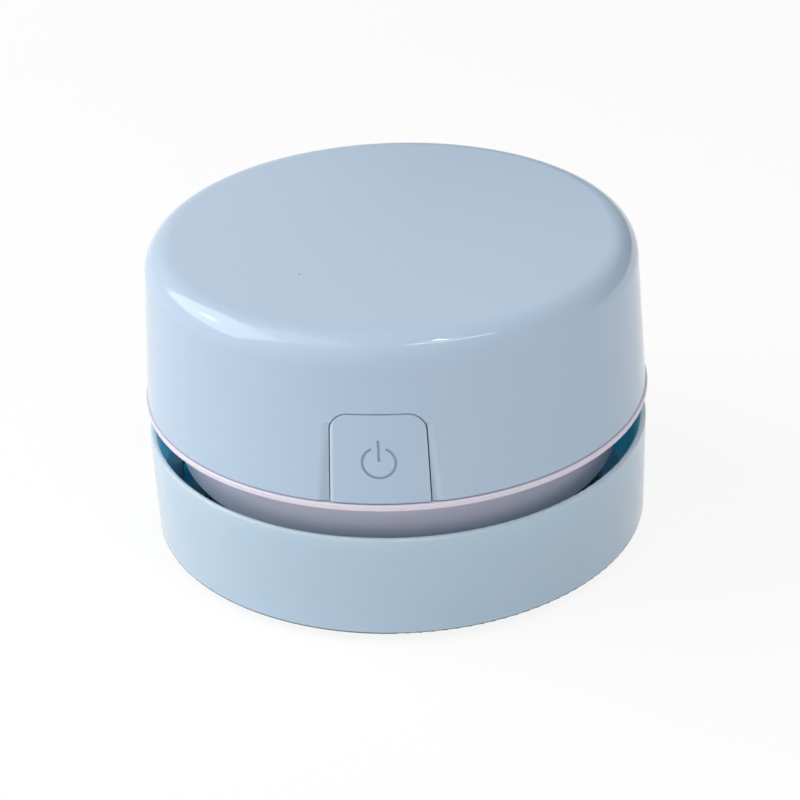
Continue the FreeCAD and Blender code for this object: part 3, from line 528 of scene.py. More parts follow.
def wound_wire(name, colour, pitch):
    """Enamelled wire laid side by side along Z."""
    made, tree, shader, place = new_material(name, Metallic=1.0, Coat_Weight=0.6, Coat_Roughness=0.15)
    at = tree.split(place)
    lay = tree.product(tree.maths("ARCTAN2", at["Y"], at["X"]), COIL_RADIUS / pitch)
    wander = tree.product(tree.noise(place, *WIRE_WANDER), WANDER_REACH)
    wave = tree.maths("SINE", tree.product(tree.maths("ADD", lay, wander), math.pi))
    wire = tree.maths("ABSOLUTE", wave)
    shown = tree.mix(tree.span(wire, *WIRE_SHADE), ENAMEL_SHADOW, opaque(colour))
    lay_surface(tree, shader, shown, tree.span(wire, *WIRE_ROUGHNESS), tree.product(wire, WIRE_HEIGHT))
    return made


# ---- meshes ----

def new_object(name, content):
    made = bpy.data.objects.new(name, content)
    bpy.context.scene.collection.objects.link(made)
    return made


def new_piece(name, mesh_maker, *materials):
    """An object whose mesh a function fills through bmesh, with flat or smooth faces as it says."""
    mesh = bpy.data.meshes.new(name)
    work = bmesh.new()
    mesh_maker(work)
    work.to_mesh(mesh)
    work.free()
    for material in materials:
        mesh.materials.append(material)
    return new_object(name, mesh)


def heading(turn):
    """The level direction at this angle from X towards Y."""
    return Vector((math.cos(turn), math.sin(turn), 0.0))


def add_ring(work, middle, radius, sides):
    return [work.verts.new(middle + heading(2 * math.pi * index / sides) * radius) for index in range(sides)]


def bridge(work, first, second, material=0):
    """Smooth faces between two rings, of which one may be a single point taken many times."""
    count = len(first)
    for index in range(count):
        after = (index + 1) % count
        corners = (first[index], first[after], second[after], second[index])
        face = work.faces.new(list(dict.fromkeys(corners)))
        face.material_index = material
        face.smooth = True


def lathe(work, profile, sides):
    """Turn (radius, height, finish of the face below) points about Z. A point of no radius closes an end."""
    rings = []
    for radius, height, _ in profile:
        middle = Vector((0.0, 0.0, height))
        rings.append(add_ring(work, middle, radius, sides) if radius else [work.verts.new(middle)] * sides)
    for first, second, point in zip(rings, rings[1:], profile[1:]):
        bridge(work, first, second, point[2])


def rides(made, body, slot_name, *nodes):
    """Tie a new piece to its body and hide the CAD nodes that it stands for; the finish's name is not used.
    """
    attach(made, body)
    if nodes:
        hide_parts(*nodes)


def dress(names, material):
    for name in names:
        for slot in NODES[name].material_slots:
            slot.material = material


# ---- operators ----

class Step:
    """What the operators share."""

    bl_options = {"REGISTER", "UNDO"}


class MINIVAC_OT_finishes(Step, bpy.types.Operator):
    """Make the shared node groups of the finishes"""

    bl_idname = "minivac.finishes"
    bl_label = "Shared finishes"

    def execute(self, context):
        for maker in GROUP_MAKERS:
            maker()
        return {"FINISHED"}


COVER_TAPER = 0.0676
FRONT = (-0.04, -0.0405)  # in Y, where the notch is
RIGHT_SIDE = (-0.001, 0.001)  # in X
STRIP_SIDES = (0.0106, 0.0102)  # the flat strips beside the button end this far from its middle
STRIP_HEIGHT = (0.0148, 0.0085)  # above the cover's foot
STRIP_CUT = (0.00004, 0.00012)  # depths under the round skin, as below
# painted shade on the strips beside the button, darkest on the left, a painted highlight on the right
# strip's crest, and the notch's left wall painted paler for light bounced into the gap
RIGHT_PAINTED_SHADE = (0.0002, 0.00042, 0.0, 0.18)
RIGHT_CREST_HIGHLIGHT = (0.00025, 0.0001, 0.0, 0.13)
LEFT_PAINTED_SHADE = 0.15
STRIP_PAINTED_SHADE = (0.05, 0.08, 0.11, 1.0)
WALL_FACING = (0.6, 0.8)  # how far the notch's left wall faces along X
NOTCH_WALL_PAINTED_LIGHT = (0.82, 0.9, 0.97, 1.0)


def depth_under_skin(tree, at):
    """How far a point lies inside the cover's tapered outer face."""
    low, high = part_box("top_cover")
    skin = tree.span(at["Z"], low.z, high.z, high.x, high.x - COVER_TAPER * (high.z - low.z))
    return tree.maths("SUBTRACT", skin, tree.from_axis(at))


def beside_button(tree, place, base):
    """Painted shade on the flat strips beside the button, a painted highlight on the right one, painted
    light on the notch's left wall.
    """
    at = tree.split(place)
    depth = depth_under_skin(tree, at)
    right = tree.span(at["X"], *RIGHT_SIDE)
    off_middle = tree.maths("ABSOLUTE", at["X"])
    ahead = tree.product(tree.span(at["Y"], *FRONT), tree.span(off_middle, *STRIP_SIDES))
    strip = tree.product(ahead, tree.span_from(at["Z"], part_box("top_cover")[0].z, STRIP_HEIGHT),
                         tree.span(depth, *STRIP_CUT))
    # painted shade on the strips, then a painted highlight on the right one's crest
    dark = tree.span(right, 0.0, 1.0, LEFT_PAINTED_SHADE, tree.span(depth, *RIGHT_PAINTED_SHADE))
    shown = tree.mix(tree.product(strip, dark), base, STRIP_PAINTED_SHADE)
    pale = tree.product(right, tree.span(depth, *RIGHT_CREST_HIGHLIGHT))
    shown = tree.mix(tree.product(strip, pale), shown, grey(1.0))
    # the notch's left wall painted paler, for light bounced into the gap
    facing = tree.span(tree.split(tree.normal())["X"], *WALL_FACING)
    return tree.mix(tree.product(ahead, facing), shown, NOTCH_WALL_PAINTED_LIGHT)


class MINIVAC_OT_cover(Step, bpy.types.Operator):
    """Finish the top cover"""

    bl_idname = "minivac.cover"
    bl_label = "Top cover"

    def execute(self, context):
        colours = context.scene.minivac_colours
        dress(["top_cover"], shell_gloss("Cover Gloss", colours.shell, 0.11, beside_button))
        return {"FINISHED"}


ENGRAVING = (0.00006, 0.00016)  # depths under the button's outer face
FIGURE_BLEND = 0.00006
FIGURE_HALF = 0.0032  # half its width
FIGURE_REACH = 0.0045  # half its height
WALL_BACK = 0.0006  # depth of the plate's inner face
# painted shade for the sunk lines of the figure
FIGURE_PAINTED_SHADE = (0.33, 0.46, 0.58, 1.0)
BUTTON_FOOT_HALF = 0.00795
BUTTON_TOP_HALF = 0.0074
BUTTON_LIP = 0.0013
# painted highlights where the button's rounded side edges catch the lamps
LEFT_EDGE_HIGHLIGHT = (0.00065, 0.0002, 0.0, 0.5)  # from the button's side
RIGHT_EDGE_HIGHLIGHT = (0.0003, 0.0001, 0.0, 0.25)
BUTTON_EDGE_HIGHLIGHT = (0.8, 0.9, 0.98, 1.0)


def engraved_figure(tree, at, base):
    """Paint shade into the sunk lines of the power figure, which lie below the button's outer face."""
    low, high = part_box("power_button")
    depth = depth_under_skin(tree, at)
    rise = tree.maths("ABSOLUTE", tree.maths("SUBTRACT", at["Z"], (low.z + high.z) / 2))
    limits = ((tree.maths("ABSOLUTE", at["X"]), FIGURE_HALF), (rise, FIGURE_REACH), (depth, WALL_BACK))
    within = [tree.span(value, limit, limit - FIGURE_BLEND) for value, limit in limits]
    return tree.mix(tree.product(tree.span(depth, *ENGRAVING), *within), base, FIGURE_PAINTED_SHADE)


def button_face(tree, place, base):
    """The engraved figure, and painted highlights along the rounded edges at the button's sides."""
    low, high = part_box("power_button")
    at = tree.split(place)
    half = tree.span(at["Z"], low.z, high.z - BUTTON_LIP, BUTTON_FOOT_HALF, BUTTON_TOP_HALF)
    inset = tree.maths("SUBTRACT", half, tree.maths("ABSOLUTE", at["X"]))
    right = tree.span(at["X"], *RIGHT_SIDE)
    # painted highlights along the button's side edges
    edge = tree.span(right, 0.0, 1.0, tree.span(inset, *LEFT_EDGE_HIGHLIGHT), tree.span(inset, *RIGHT_EDGE_HIGHLIGHT))
    return tree.mix(edge, engraved_figure(tree, at, base), BUTTON_EDGE_HIGHLIGHT)


class MINIVAC_OT_button(Step, bpy.types.Operator):
    """Finish the power button"""

    bl_idname = "minivac.button"
    bl_label = "Power button"

    def execute(self, context):
        colours = context.scene.minivac_colours
        dress(["power_button"], shell_gloss("Button Gloss", colours.shell, 0.2, button_face))
        dress(["switch_plunger"], plastic("Plunger Acetal", (0.75, 0.75, 0.74), 0.35))
        return {"FINISHED"}


# painted shade: the skirt turns darker and bluer towards its foot, for shade and blue light bounced from the
# cup
SKIRT_SHADE_HEIGHTS = (0.0235, 0.0165)  # heights


class MINIVAC_OT_chassis(Step, bpy.types.Operator):
    """Finish the chassis"""

    bl_idname = "minivac.chassis"
    bl_label = "Chassis"

    def execute(self, context):
        colours = context.scene.minivac_colours

        # painted shade and bounced blue light towards the skirt's foot
        def darkened(tree, place, base):
            share = tree.span(tree.split(place)["Z"], *SKIRT_SHADE_HEIGHTS)
            return tree.mix(share, base, opaque(colours.skirt_foot_painted_shade))

        satin = plastic("Chassis Satin", colours.chassis, 0.3, grain_scale=3600.0, grain_depth=1.5e-6,
                        dust=0.15, wear=0.15, tint=darkened)
        dress(["chassis"], satin)
        return {"FINISHED"}


# Where each look of the cup starts and is full, from the face named.
WALL_SEEN = (-0.0007, -0.0009)  # outer face
CHAMBER_WALL = (-0.0013, -0.0008)  # filter frame's edge
BELOW_RIM = (-0.0011, -0.0023)
ABOVE_FOOT = (0.0006, 0.0012)
SHADE_ENDS_OUTWARDS = (0.0001, 0.0018)  # filter frame's edge
SHADE_ENDS_UPWARDS = (0.0088, 0.0098)  # foot
OUTER_EDGE = (-0.0004, -0.0003)  # outer face
EDGE_LINE = (0.00045, 0.00035)  # foot
# painted shade, near black, in the slot's deep corner
CORNER_PAINTED_SHADE = (0.012, 0.014, 0.017, 1.0)
# painted contact shadow, a thin dark line along the cup's outer foot
FOOT_PAINTED_SHADOW = (0.13, 0.14, 0.155, 1.0)


class MINIVAC_OT_cup(Step, bpy.types.Operator):
    """Finish the dust cup and its feet"""

    bl_idname = "minivac.cup"
    bl_label = "Dust cup"

    def execute(self, context):
        colours = context.scene.minivac_colours
        low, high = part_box("dust_cup")
        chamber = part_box("filter_frame")[1].x

        def deep_channel(tree, place, base):
            """Painted light in the slot: bluer walls for bounced light, painted shade in its deep corner,
            and a painted shadow line at the outer foot.
            """
            at = tree.split(place)
            radius = tree.from_axis(at)
            share = tree.product(
                tree.span_from(radius, high.x, WALL_SEEN), tree.span_from(radius, chamber, CHAMBER_WALL),
                tree.span_from(at["Z"], high.z, BELOW_RIM), tree.span_from(at["Z"], low.z, ABOVE_FOOT))
            # where the painted shade of the deep corner ends
            beyond_shade = tree.maths("MAXIMUM", tree.span_from(radius, chamber, SHADE_ENDS_OUTWARDS),
                               tree.span_from(at["Z"], low.z, SHADE_ENDS_UPWARDS))
            # the slot's walls in a bluer colour for bounced light, near black in the painted-shade corner
            walls = tree.mix(beyond_shade, CORNER_PAINTED_SHADE, opaque(colours.channel))
            # painted contact shadow along the outer foot
            foot_shadow = tree.product(tree.span_from(radius, high.x, OUTER_EDGE),
                                   tree.span_from(at["Z"], low.z, EDGE_LINE))
            return tree.mix(foot_shadow, tree.mix(share, base, walls), FOOT_PAINTED_SHADOW)

        gloss = shell_gloss("Cup Gloss", colours.cup, 0.18, tint=deep_channel, Subsurface_Weight=1.0,
                            Subsurface_Radius=(0.7, 0.9, 1.0), Subsurface_Scale=0.0042)
        dress(["dust_cup"], gloss)
        rubber = plastic("Foot Rubber", colours.rubber, 0.7, mottle=0.2, grain_scale=3000.0,
                         grain_depth=1.2e-5, worn=(0.16, 0.16, 0.16), dust=0.3)
        dress(["rubber_feet"], rubber)
        return {"FINISHED"}


TUFT_COUNT = 44
TUFT_RADIUS = 0.00045
TUFT_SPREAD = 1.35  # how much wider a tuft is at its tip than at its root
BRISTLE_SIDES = 5
BRISTLE_STEPS = 4
TIP_THINNING = 0.45
ROOT_SPREAD = 0.86  # of a tuft's radius
FIBRE_TURN = 2.39996  # the golden angle, which spreads the roots evenly
TURN_JITTER = 0.2
STRAY = 0.00005
BOW = 2.0  # in strays
TIP_UNEVENNESS = 0.00007
BRISTLE_SEED = 11


def oblong_point(distance, radius, half_run):
    """The point this far along an oblong with round ends, anticlockwise from its lower right corner."""
    arc, straight = math.pi * radius, 2 * half_run
    far_side = distance >= arc + straight
    distance -= (arc + straight) * far_side
    if distance < arc:
        turn = distance / radius
        x, y = half_run + radius * math.sin(turn), -radius * math.cos(turn)
    else:
        x, y = half_run - (distance - arc), radius
    return (-x, -y) if far_side else (x, y)


def tuft_places():
    """The tufts' roots, evenly spaced round the suction mouth."""
    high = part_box("bristle_tufts")[1]
    radius = high.y - TUFT_RADIUS
    half_run = high.x - high.y
    step = 2 * (2 * half_run + math.pi * radius) / TUFT_COUNT
    return [oblong_point(step * index, radius, half_run) for index in range(TUFT_COUNT)]


def grow_fibre(work, root, tip, lean, thickness):
    """One fibre from root to tip that bows by lean and thins towards its tip."""
    rings = []
    for step in range(BRISTLE_STEPS + 1):
        share = step / BRISTLE_STEPS
        middle = root.lerp(tip, share) + lean * (share * (1.0 - share))
        rings.append(add_ring(work, middle, thickness * (1.0 - TIP_THINNING * share), BRISTLE_SIDES))
    for first, second in zip(rings, rings[1:]):
        bridge(work, second, first)
    work.faces.new(rings[0])
    work.faces.new(rings[-1][::-1])


class MINIVAC_OT_brush(Step, bpy.types.Operator):
    """Finish the brush ring and plant its bristles"""

    bl_idname = "minivac.brush"
    bl_label = "Brush"

    def execute(self, context):
        colours = context.scene.minivac_colours
        details = context.scene.minivac_details
        base = plastic("Brush Base", colours.black, 0.5, grain_scale=4200.0, grain_depth=6e-6, dust=0.2)
        dress(["brush_ring"], base)
        nylon = plastic("Bristle Nylon", colours.bristle, 0.38, mottle=0.3, wear=0.0)
        low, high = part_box("bristle_tufts")
        chance = random.Random(BRISTLE_SEED)

        def fibres(work):
            for x, y in tuft_places():
                for number in range(details.fibres):
                    reach = TUFT_RADIUS * ROOT_SPREAD * math.sqrt((number + 0.5) / details.fibres)
                    side = heading(number * FIBRE_TURN + chance.uniform(-TURN_JITTER, TURN_JITTER))
                    stray = Vector((chance.gauss(0, 1), chance.gauss(0, 1), 0.0)) * STRAY
                    tip_height = low.z + abs(chance.gauss(0, TIP_UNEVENNESS))
                    root = Vector((x, y, high.z)) + side * reach
                    tip = Vector((x, y, tip_height)) + side * (reach * TUFT_SPREAD) + stray
                    grow_fibre(work, root, tip, stray * BOW, details.fibre_radius)

        rides(new_piece("bristle_fibres", fibres, nylon), "base", "bristle", "bristle_tufts")
        return {"FINISHED"}


class MINIVAC_OT_filter(Step, bpy.types.Operator):
    """Finish the filter's frame, cloth and seal"""

    bl_idname = "minivac.filter"
    bl_label = "Filter"

    def execute(self, context):
        colours = context.scene.minivac_colours
        details = context.scene.minivac_details
        dress(["filter_frame"], grained_black("Filter Black", colours.black, 0.48, dust=0.25))
        dress(["filter_mesh"], cloth("Filter Cloth", colours.cloth, details.weave_pitch))
        seal = plastic("Seal Rubber", colours.rubber, 0.62, mottle=0.15, grain_scale=3000.0,
                       grain_depth=1e-5, worn=(0.12, 0.12, 0.12))
        dress(["filter_seal"], seal)
        return {"FINISHED"}


class MINIVAC_OT_fan(Step, bpy.types.Operator):
    """Finish the fan, its shroud and the screws"""

    bl_idname = "minivac.fan"
    bl_label = "Fan"

    def execute(self, context):
        colours = context.scene.minivac_colours
        dress(["fan_shroud"], grained_black("Shroud Black", colours.black, 0.45, dust=0.2))
        dress(["impeller"], plastic("Fan Plastic", colours.fan, 0.4, grain_depth=4e-6, dust=0.5))
        zinc = metal("Screw Zinc", (0.6, 0.6, 0.6), 0.28, (700, 700, 700))
        dress(["shroud_screws", "clamp_screws"], zinc)
        return {"FINISHED"}


class MINIVAC_OT_motor(Step, bpy.types.Operator):
    """Finish the motor and its clamp"""

    bl_idname = "minivac.motor"
    bl_label = "Motor"

    def execute(self, context):
        dress(["motor_can"], metal("Can Steel", (0.55, 0.55, 0.54), 0.3, (1600, 1600, 60)))
        dress(["motor_shaft"], metal("Shaft Steel", (0.6, 0.6, 0.6), 0.18, (60, 60, 2400)))
        dress(["motor_magnets"], plastic("Magnet Ferrite", (0.06, 0.06, 0.065), 0.75, mottle=0.25,
                                         grain_scale=5000.0, grain_depth=1e-5))
        dress(["motor_end_cap"], plastic("End Cap Nylon", (0.75, 0.75, 0.72), 0.45, grain_depth=4e-6))
        dress(["motor_bushes"], metal("Bush Bronze", (0.55, 0.36, 0.17), 0.42, (2600, 2600, 2600)))
        dress(["motor_brushes"], metal("Brush Brass", (0.72, 0.55, 0.25), 0.26, (60, 900, 900)))
        dress(["armature_core"], lamination("Armature Steel", (0.3, 0.3, 0.3), 0.0005))
        dress(["armature_windings"], wound_wire("Winding Copper", (0.6, 0.2, 0.08), 0.00028))
        dress(["commutator"], metal("Commutator Copper", (0.7, 0.32, 0.15), 0.3, (60, 60, 2400)))
        dress(["motor_clamp"], plastic("Clamp Plastic", (0.7, 0.68, 0.74), 0.42, grain_depth=5e-6, dust=0.2))
        return {"FINISHED"}


CELL_SIDES = 96
NUB_RADIUS = 0.0027
NUB_LENGTH = 0.0012
NUB_ROUND = 0.0003
NUB_FLARE = 0.0003  # how far the steel spreads round the nub's root
FLARE_HEIGHTS = (-0.0002, 0.0001)  # from the shoulder
WASHER_EDGE = 0.0009  # from the nub
END_SINK = 0.0004  # of the steel ends, below the sleeve's rolled lips
RAISED_PLATE = (0.66, 0.69)  # shares of the radius where the raised plate ends
PLATE_STEP = 0.0003
SLEEVE_ROLL = (  # (share of the lip inwards, depth below the end), from the lip outwards
    (1.0, 0.0002), (0.55, 0.0), (0.25, 0.0001), (0.05, 0.0005), (0.0, 0.001), (0.0, 0.0035))
SLEEVE, STEEL, WASHER = 0, 1, 2


def cell_profile(radius, length, lip):
    """(radius, height, finish of the face below it) from a cell's flat end to the tip of its nub."""
    shoulder = length - NUB_LENGTH
    inner = radius - lip
    return [
        (0.0, 0.0, STEEL),
        (radius * RAISED_PLATE[0], 0.0, STEEL),
        (radius * RAISED_PLATE[1], PLATE_STEP, STEEL),
        (inner, END_SINK, STEEL),
        *((radius - lip * inwards, depth, SLEEVE) for inwards, depth in SLEEVE_ROLL),
        *((radius - lip * inwards, shoulder - depth, SLEEVE) for inwards, depth in reversed(SLEEVE_ROLL)),
        (inner, shoulder - END_SINK, SLEEVE),
        (NUB_RADIUS + WASHER_EDGE, shoulder - END_SINK, WASHER),
        (NUB_RADIUS + NUB_FLARE, shoulder + FLARE_HEIGHTS[0], STEEL),
        (NUB_RADIUS, shoulder + FLARE_HEIGHTS[1], STEEL),
        (NUB_RADIUS, length - NUB_ROUND, STEEL),
        (NUB_RADIUS - NUB_ROUND, length, STEEL),
        (0.0, length, STEEL),
    ]


def add_cell(node, nub_way, lip, finishes):
    """A cell in place of a CAD node, with its nub towards nub_way along Y."""
    low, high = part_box(node)
    profile = cell_profile((high.x - low.x) / 2, high.y - low.y, lip)
    stand = Matrix.Rotation(-nub_way * math.pi / 2, 4, "X")
    start = low.y if nub_way > 0 else high.y
    stand.translation = Vector(((low.x + high.x) / 2, start, (low.z + high.z) / 2))

    def turned(work):
        lathe(work, profile, CELL_SIDES)
        work.transform(stand)

    rides(new_piece(node + "_cell", turned, *finishes), "head", "cell_sleeve", node)


SOLDER_SIDES = 24
SOLDER_DROP = (  # (radius, height), in solder sizes
    (0.0, -0.25), (0.8, -0.2), (1.0, 0.0), (0.97, 0.25), (0.85, 0.6), (0.74, 0.95), (0.68, 1.25),
    (0.6, 1.35), (0.0, 1.4))
PIN_INSET = Vector((0.0003, 0.0005))  # from the box's corner, as below
TAB_INSET = Vector((0.0011, 0.0004, 0.0013))
TERMINAL_INSET = Vector((0.00055, 0.0006))


def add_solder(name, place, way, size, finish):
    """A drop of solder: round at its foot, drawn up along way round a lead's end."""
    turn = Vector((0.0, 0.0, 1.0)).rotation_difference(Vector(way)).to_matrix().to_4x4()

    def drop(work):
        lathe(work, [(radius * size, height * size, 0) for radius, height in SOLDER_DROP], SOLDER_SIDES)
        work.transform(Matrix.Translation(place) @ turn)

    rides(new_piece(name, drop, finish), "head", "contact_nickel")


def solder_joints():
    """(name, place, way the lead leaves) of each lead's end."""
    low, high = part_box("switch_pins")
    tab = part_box("contact_positive")
    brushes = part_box("motor_brushes")
    pin = Vector((high.x - PIN_INSET.x, high.y - PIN_INSET.y, (low.z + high.z) / 2))
    tab_spot = Vector((TAB_INSET.x - tab[1].x, tab[0].y + TAB_INSET.y, tab[1].z - TAB_INSET.z))
    terminal = Vector((brushes[1].x - TERMINAL_INSET.x, 0.0, brushes[1].z - TERMINAL_INSET.y))
    spots = (("switch", pin, (0, 1, 0)), ("contact", tab_spot, (0, 1, 0)), ("motor", terminal, (0, 0, -1)))
    return [(f"solder_{at}_{side}", spot * Vector((mirror, 1, 1)), way)
            for mirror, side in ((-1, "left"), (1, "right")) for at, spot, way in spots]


class MINIVAC_OT_power(Step, bpy.types.Operator):
    """Finish the cells, contacts, switch and leads"""

    bl_idname = "minivac.power"
    bl_label = "Power"

    def execute(self, context):
        colours = context.scene.minivac_colours
        details = context.scene.minivac_details
        sleeve = plastic("Cell Sleeve", colours.sleeve, 0.22, mottle=0.05, unevenness=0.08, wear=0.2,
                         Coat_Weight=0.4)
        steel = metal("Cell Steel", (0.6, 0.6, 0.59), 0.3, (1400, 60, 1400))
        washer = plastic("Cell Washer", (0.7, 0.68, 0.62), 0.7, mottle=0.2, wear=0.0)
        add_cell("battery_left", -1, details.sleeve_lip, (sleeve, steel, washer))
        add_cell("battery_right", 1, details.sleeve_lip, (sleeve, steel, washer))
        nickel = metal("Contact Nickel", (0.62, 0.61, 0.58), 0.24, (60, 900, 1400))
        dress(["contact_positive", "contact_negative", "contact_bridge"], nickel)
        dress(["switch_body"], plastic("Switch Black", (0.02, 0.02, 0.022), 0.42, grain_depth=6e-6))
        dress(["switch_pins"], metal("Pin Brass", (0.72, 0.55, 0.25), 0.26, (900, 60, 900)))
        red = plastic("Lead Red", (0.45, 0.02, 0.02), 0.34, mottle=0.08, wear=0.0)
        dress(["lead_cell_to_switch", "lead_switch_to_motor"], red)
        dress(["lead_motor_to_cell"], plastic("Lead Black", (0.02, 0.02, 0.02), 0.34, mottle=0.1, wear=0.0))
        tin = metal("Solder Tin", (0.6, 0.61, 0.62), 0.25, (500, 500, 500), wear=0.0)
        for name, place, way in solder_joints():
            add_solder(name, place, way, details.solder_size, tin)
        return {"FINISHED"}


# ---- stage ----

CAMERA_FOCUS = Vector((0.0, 0.0, 0.0272))
CAMERA_DISTANCE = 0.3853
CAMERA_AZIMUTH = math.radians(4.4)
CAMERA_ELEVATION = 0.49246
CAMERA_ROLL = 0.041
CAMERA_YAW = -0.0012065
CAMERA_PITCH = 0.0142129
CAMERA_LENS = 100.143


def swing(first, second, turn):
    """Two directions at right angles, turned in their plane from the first towards the second."""
    return (first * math.cos(turn) + second * math.sin(turn),
            second * math.cos(turn) - first * math.sin(turn))


def add_camera():
    """A camera that looks down on the button's side, a little from its right."""
    right = Vector((1.0, 0.0, 0.0))
    ahead = Vector((0.0, math.cos(CAMERA_ELEVATION), -math.sin(CAMERA_ELEVATION)))
    up = right.cross(ahead)
    back = ahead * -CAMERA_DISTANCE
    right, ahead = swing(right, ahead, CAMERA_YAW)
    up, ahead = swing(up, ahead, CAMERA_PITCH)
    right, up = swing(right, up, -CAMERA_ROLL)
    place = Matrix((right, up, -ahead)).transposed().to_4x4()
    place.translation = back
    lens = bpy.data.cameras.new("Camera")
    lens.lens = CAMERA_LENS
    made = new_object("Camera", lens)
    made.matrix_world = Matrix.Translation(CAMERA_FOCUS) @ Matrix.Rotation(CAMERA_AZIMUTH, 4, "Z") @ place
    bpy.context.scene.camera = made


LAMP_DISTANCE = 0.65
DIM_SIDE = math.radians(42.0)  # where the room is darker, counted from +X towards +Y
ROOM_GLOW = (0.8, 0.92, 0.8, 0.24)  # by the cosine from the dim side
LOW_BACK = (("Z", 0.445, 0.37), ("X", -0.14, -0.05), ("Y", 0.3, 0.5))  # (axis, start, full)
LOW_BACK_DIMMING = 0.62
AMBIENT_GREY = 0.8


def direction(azimuth, elevation):
    turn, rise = math.radians(azimuth), math.radians(elevation)
    return Vector((math.cos(rise) * math.cos(turn), math.cos(rise) * math.sin(turn), math.sin(rise)))


def add_softbox(name, azimuth, elevation, size, power, tilt=0.0, mirrored=True):
    """A soft lamp that faces the object, its azimuth counted in degrees from +X towards +Y."""
    light = bpy.data.lights.new(name, "AREA")
    light.shape = "RECTANGLE"
    light.size, light.size_y = size
    light.energy = power
    made = new_object(name, light)
    away = direction(azimuth, elevation)
    facing = away.to_track_quat("Z", "Y").to_matrix().to_4x4() @ Matrix.Rotation(math.radians(tilt), 4, "Z")
    made.matrix_world = Matrix.Translation(CAMERA_FOCUS + away * LAMP_DISTANCE) @ facing
    made.visible_glossy = mirrored


def background_seen(tree):
    """Masks of the rays that show the background: straight or through glass, and these or off gloss."""
    path = tree.node("LightPath").outputs
    direct = tree.maths("MAXIMUM", path["Is Camera Ray"], path["Is Transmission Ray"])
    return direct, tree.maths("MAXIMUM", direct, path["Is Glossy Ray"])


def add_world(ambient):
    """Even light from all round: plain white behind the object, with two dimmer parts in its gloss."""
    world = bpy.data.worlds.new("Studio")
    bpy.context.scene.world = world
    world.use_nodes = True
    world.node_tree.nodes.clear()
    tree = Tree(world.node_tree)
    direct, seen = background_seen(tree)
    way = tree.node("TexCoord").outputs["Generated"]
    towards = tree.vector("DOT_PRODUCT", way, (math.cos(DIM_SIDE), math.sin(DIM_SIDE), 0.0))
    at = tree.split(way)
    low_back = [tree.span(at[axis], start, full) for axis, start, full in LOW_BACK]
    dimmer = tree.product(LOW_BACK_DIMMING, *low_back)
    room = tree.product(tree.span(towards, *ROOM_GLOW), tree.maths("SUBTRACT", 1.0, dimmer))
    soft = tree.filled("Background", grey(AMBIENT_GREY), ambient)
    white = tree.filled("Background", grey(1.0), tree.maths("MAXIMUM", direct, room))
    tree.feed(tree.node("OutputWorld").inputs["Surface"], tree.filled("MixShader", seen, soft, white))


FLOOR_HALF = 3.0
FLOOR_FADE = (0.25, 1.2)  # where the floor turns plain white
FLOOR_CLEARANCE = 0.00002
PAPER_GRAIN = (300.0, 2.0)
PAPER_SHADE = (0.3, 0.7, 0.79, 0.81)


def add_floor(glow):
    """A wide floor: a pale sheet that lights the object, seen as white but for a faint shadow."""
    made, tree, paper, place = new_material("Floor White", Roughness=0.9, Specular_IOR_Level=0.0)
    surface = paper.outputs[0].links[0].to_socket
    speckle = tree.span(tree.noise(place, *PAPER_GRAIN), *PAPER_SHADE)
    tree.feed(paper.inputs["Base Color"], tree.combine(speckle, speckle, speckle))
    away = tree.vector("LENGTH", place)
    white = tree.filled("Emission", grey(1.0), tree.span(away, *FLOOR_FADE, glow, 1.0))
    seen = tree.filled("AddShader", tree.filled("BsdfDiffuse", grey(1.0 - glow)), white)
    top = tree.filled("MixShader", background_seen(tree)[1], paper.outputs[0], seen)
    below = tree.node("NewGeometry").outputs["Backfacing"]
    tree.feed(surface, tree.filled("MixShader", below, top, tree.filled("BsdfTransparent")))

    def sheet(work):
        half = FLOOR_HALF
        corners = ((-half, -half), (half, -half), (half, half), (-half, half))
        work.faces.new([work.verts.new((x, y, -FLOOR_CLEARANCE)) for x, y in corners])

    new_piece("floor", sheet, made)


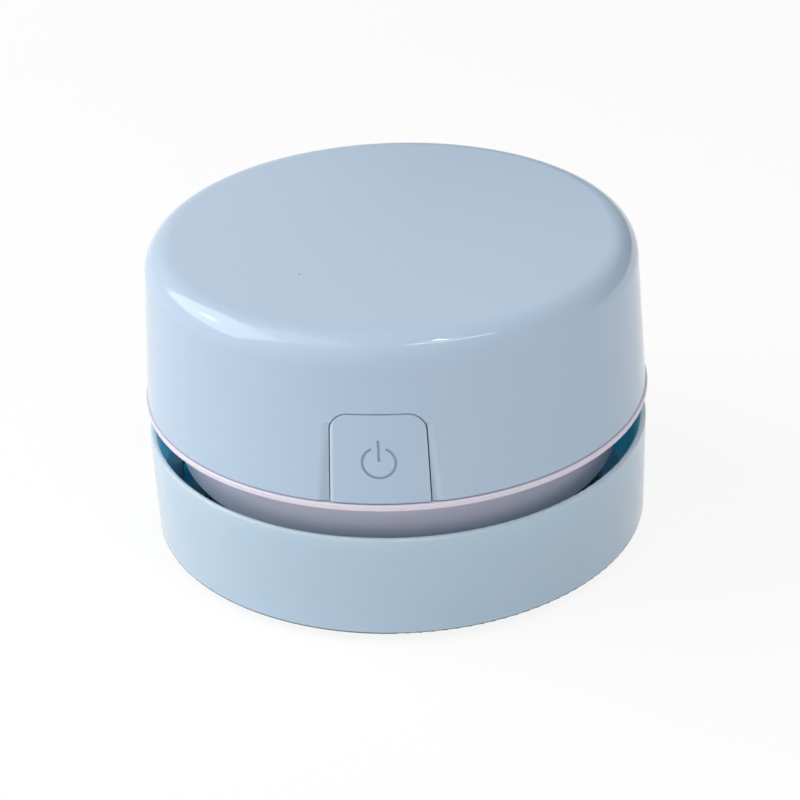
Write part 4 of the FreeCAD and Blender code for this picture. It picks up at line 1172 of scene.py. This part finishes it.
class MINIVAC_OT_stage(Step, bpy.types.Operator):
    """Set the floor, lamps, surroundings and camera"""

    bl_idname = "minivac.stage"
    bl_label = "Stage"

    def execute(self, context):
        stage = context.scene.minivac_stage
        add_floor(stage.floor_glow)
        add_world(stage.ambient)
        add_softbox("Left Softbox", 176.0, 38.0, (0.62, 0.42), stage.left_power)
        add_softbox("Left Spot", 171.0, 37.0, (0.1, 0.08), stage.spot_power)
        add_softbox("Upper Left Softbox", 192.0, 66.0, (0.5, 0.24), stage.left_upper_power)
        add_softbox("Low Left Softbox", 205.0, 12.0, (0.95, 0.24), stage.left_low_power, mirrored=False)
        add_softbox("Low Front Softbox", 281.0, 18.0, (0.9, 0.3), stage.front_low_power, mirrored=False)
        add_softbox("Low Right Softbox", 0.0, 14.0, (0.5, 0.26), stage.right_low_power, mirrored=False)
        add_softbox("Front Softbox", 310.0, 66.0, (0.8, 0.8), stage.front_power, mirrored=False)
        add_softbox("Streak Lamp", 319.0, 66.0, (0.3, 0.045), stage.streak_power, tilt=-32.0)
        add_softbox("Glint Lamp", 323.0, 74.5, (0.012, 0.012), stage.glint_power)
        add_camera()
        context.scene.view_settings.view_transform = "Standard"
        return {"FINISHED"}


STEPS = (
    MINIVAC_OT_finishes, MINIVAC_OT_cover, MINIVAC_OT_button, MINIVAC_OT_chassis, MINIVAC_OT_cup,
    MINIVAC_OT_brush, MINIVAC_OT_filter, MINIVAC_OT_fan, MINIVAC_OT_motor, MINIVAC_OT_power,
    MINIVAC_OT_stage,
)


class MINIVAC_PT_panel(bpy.types.Panel):
    """Lists the settings and steps in the sidebar."""

    bl_idname = "MINIVAC_PT_panel"
    bl_label = "Desktop Mini Vacuum"
    bl_space_type = "VIEW_3D"
    bl_region_type = "UI"
    bl_category = "Mini Vacuum"

    def draw(self, context):
        scene = context.scene
        for settings in (scene.minivac_colours, scene.minivac_details, scene.minivac_stage):
            box = self.layout.box()
            for name in settings.__annotations__:
                box.prop(settings, name)
        for step in STEPS:
            self.layout.operator(step.bl_idname)


CLASSES = (MINIVAC_PG_colours, MINIVAC_PG_details, MINIVAC_PG_stage) + STEPS + (MINIVAC_PT_panel,)


def register():
    for made in CLASSES:
        bpy.utils.register_class(made)
    bpy.types.Scene.minivac_colours = PointerProperty(type=MINIVAC_PG_colours)
    bpy.types.Scene.minivac_details = PointerProperty(type=MINIVAC_PG_details)
    bpy.types.Scene.minivac_stage = PointerProperty(type=MINIVAC_PG_stage)


def unregister():
    del bpy.types.Scene.minivac_stage
    del bpy.types.Scene.minivac_details
    del bpy.types.Scene.minivac_colours
    for made in reversed(CLASSES):
        bpy.utils.unregister_class(made)


def main():
    register()
    for step in STEPS:
        group, name = step.bl_idname.split(".")
        getattr(getattr(bpy.ops, group), name)()


if __name__ == "__main__":
    main()
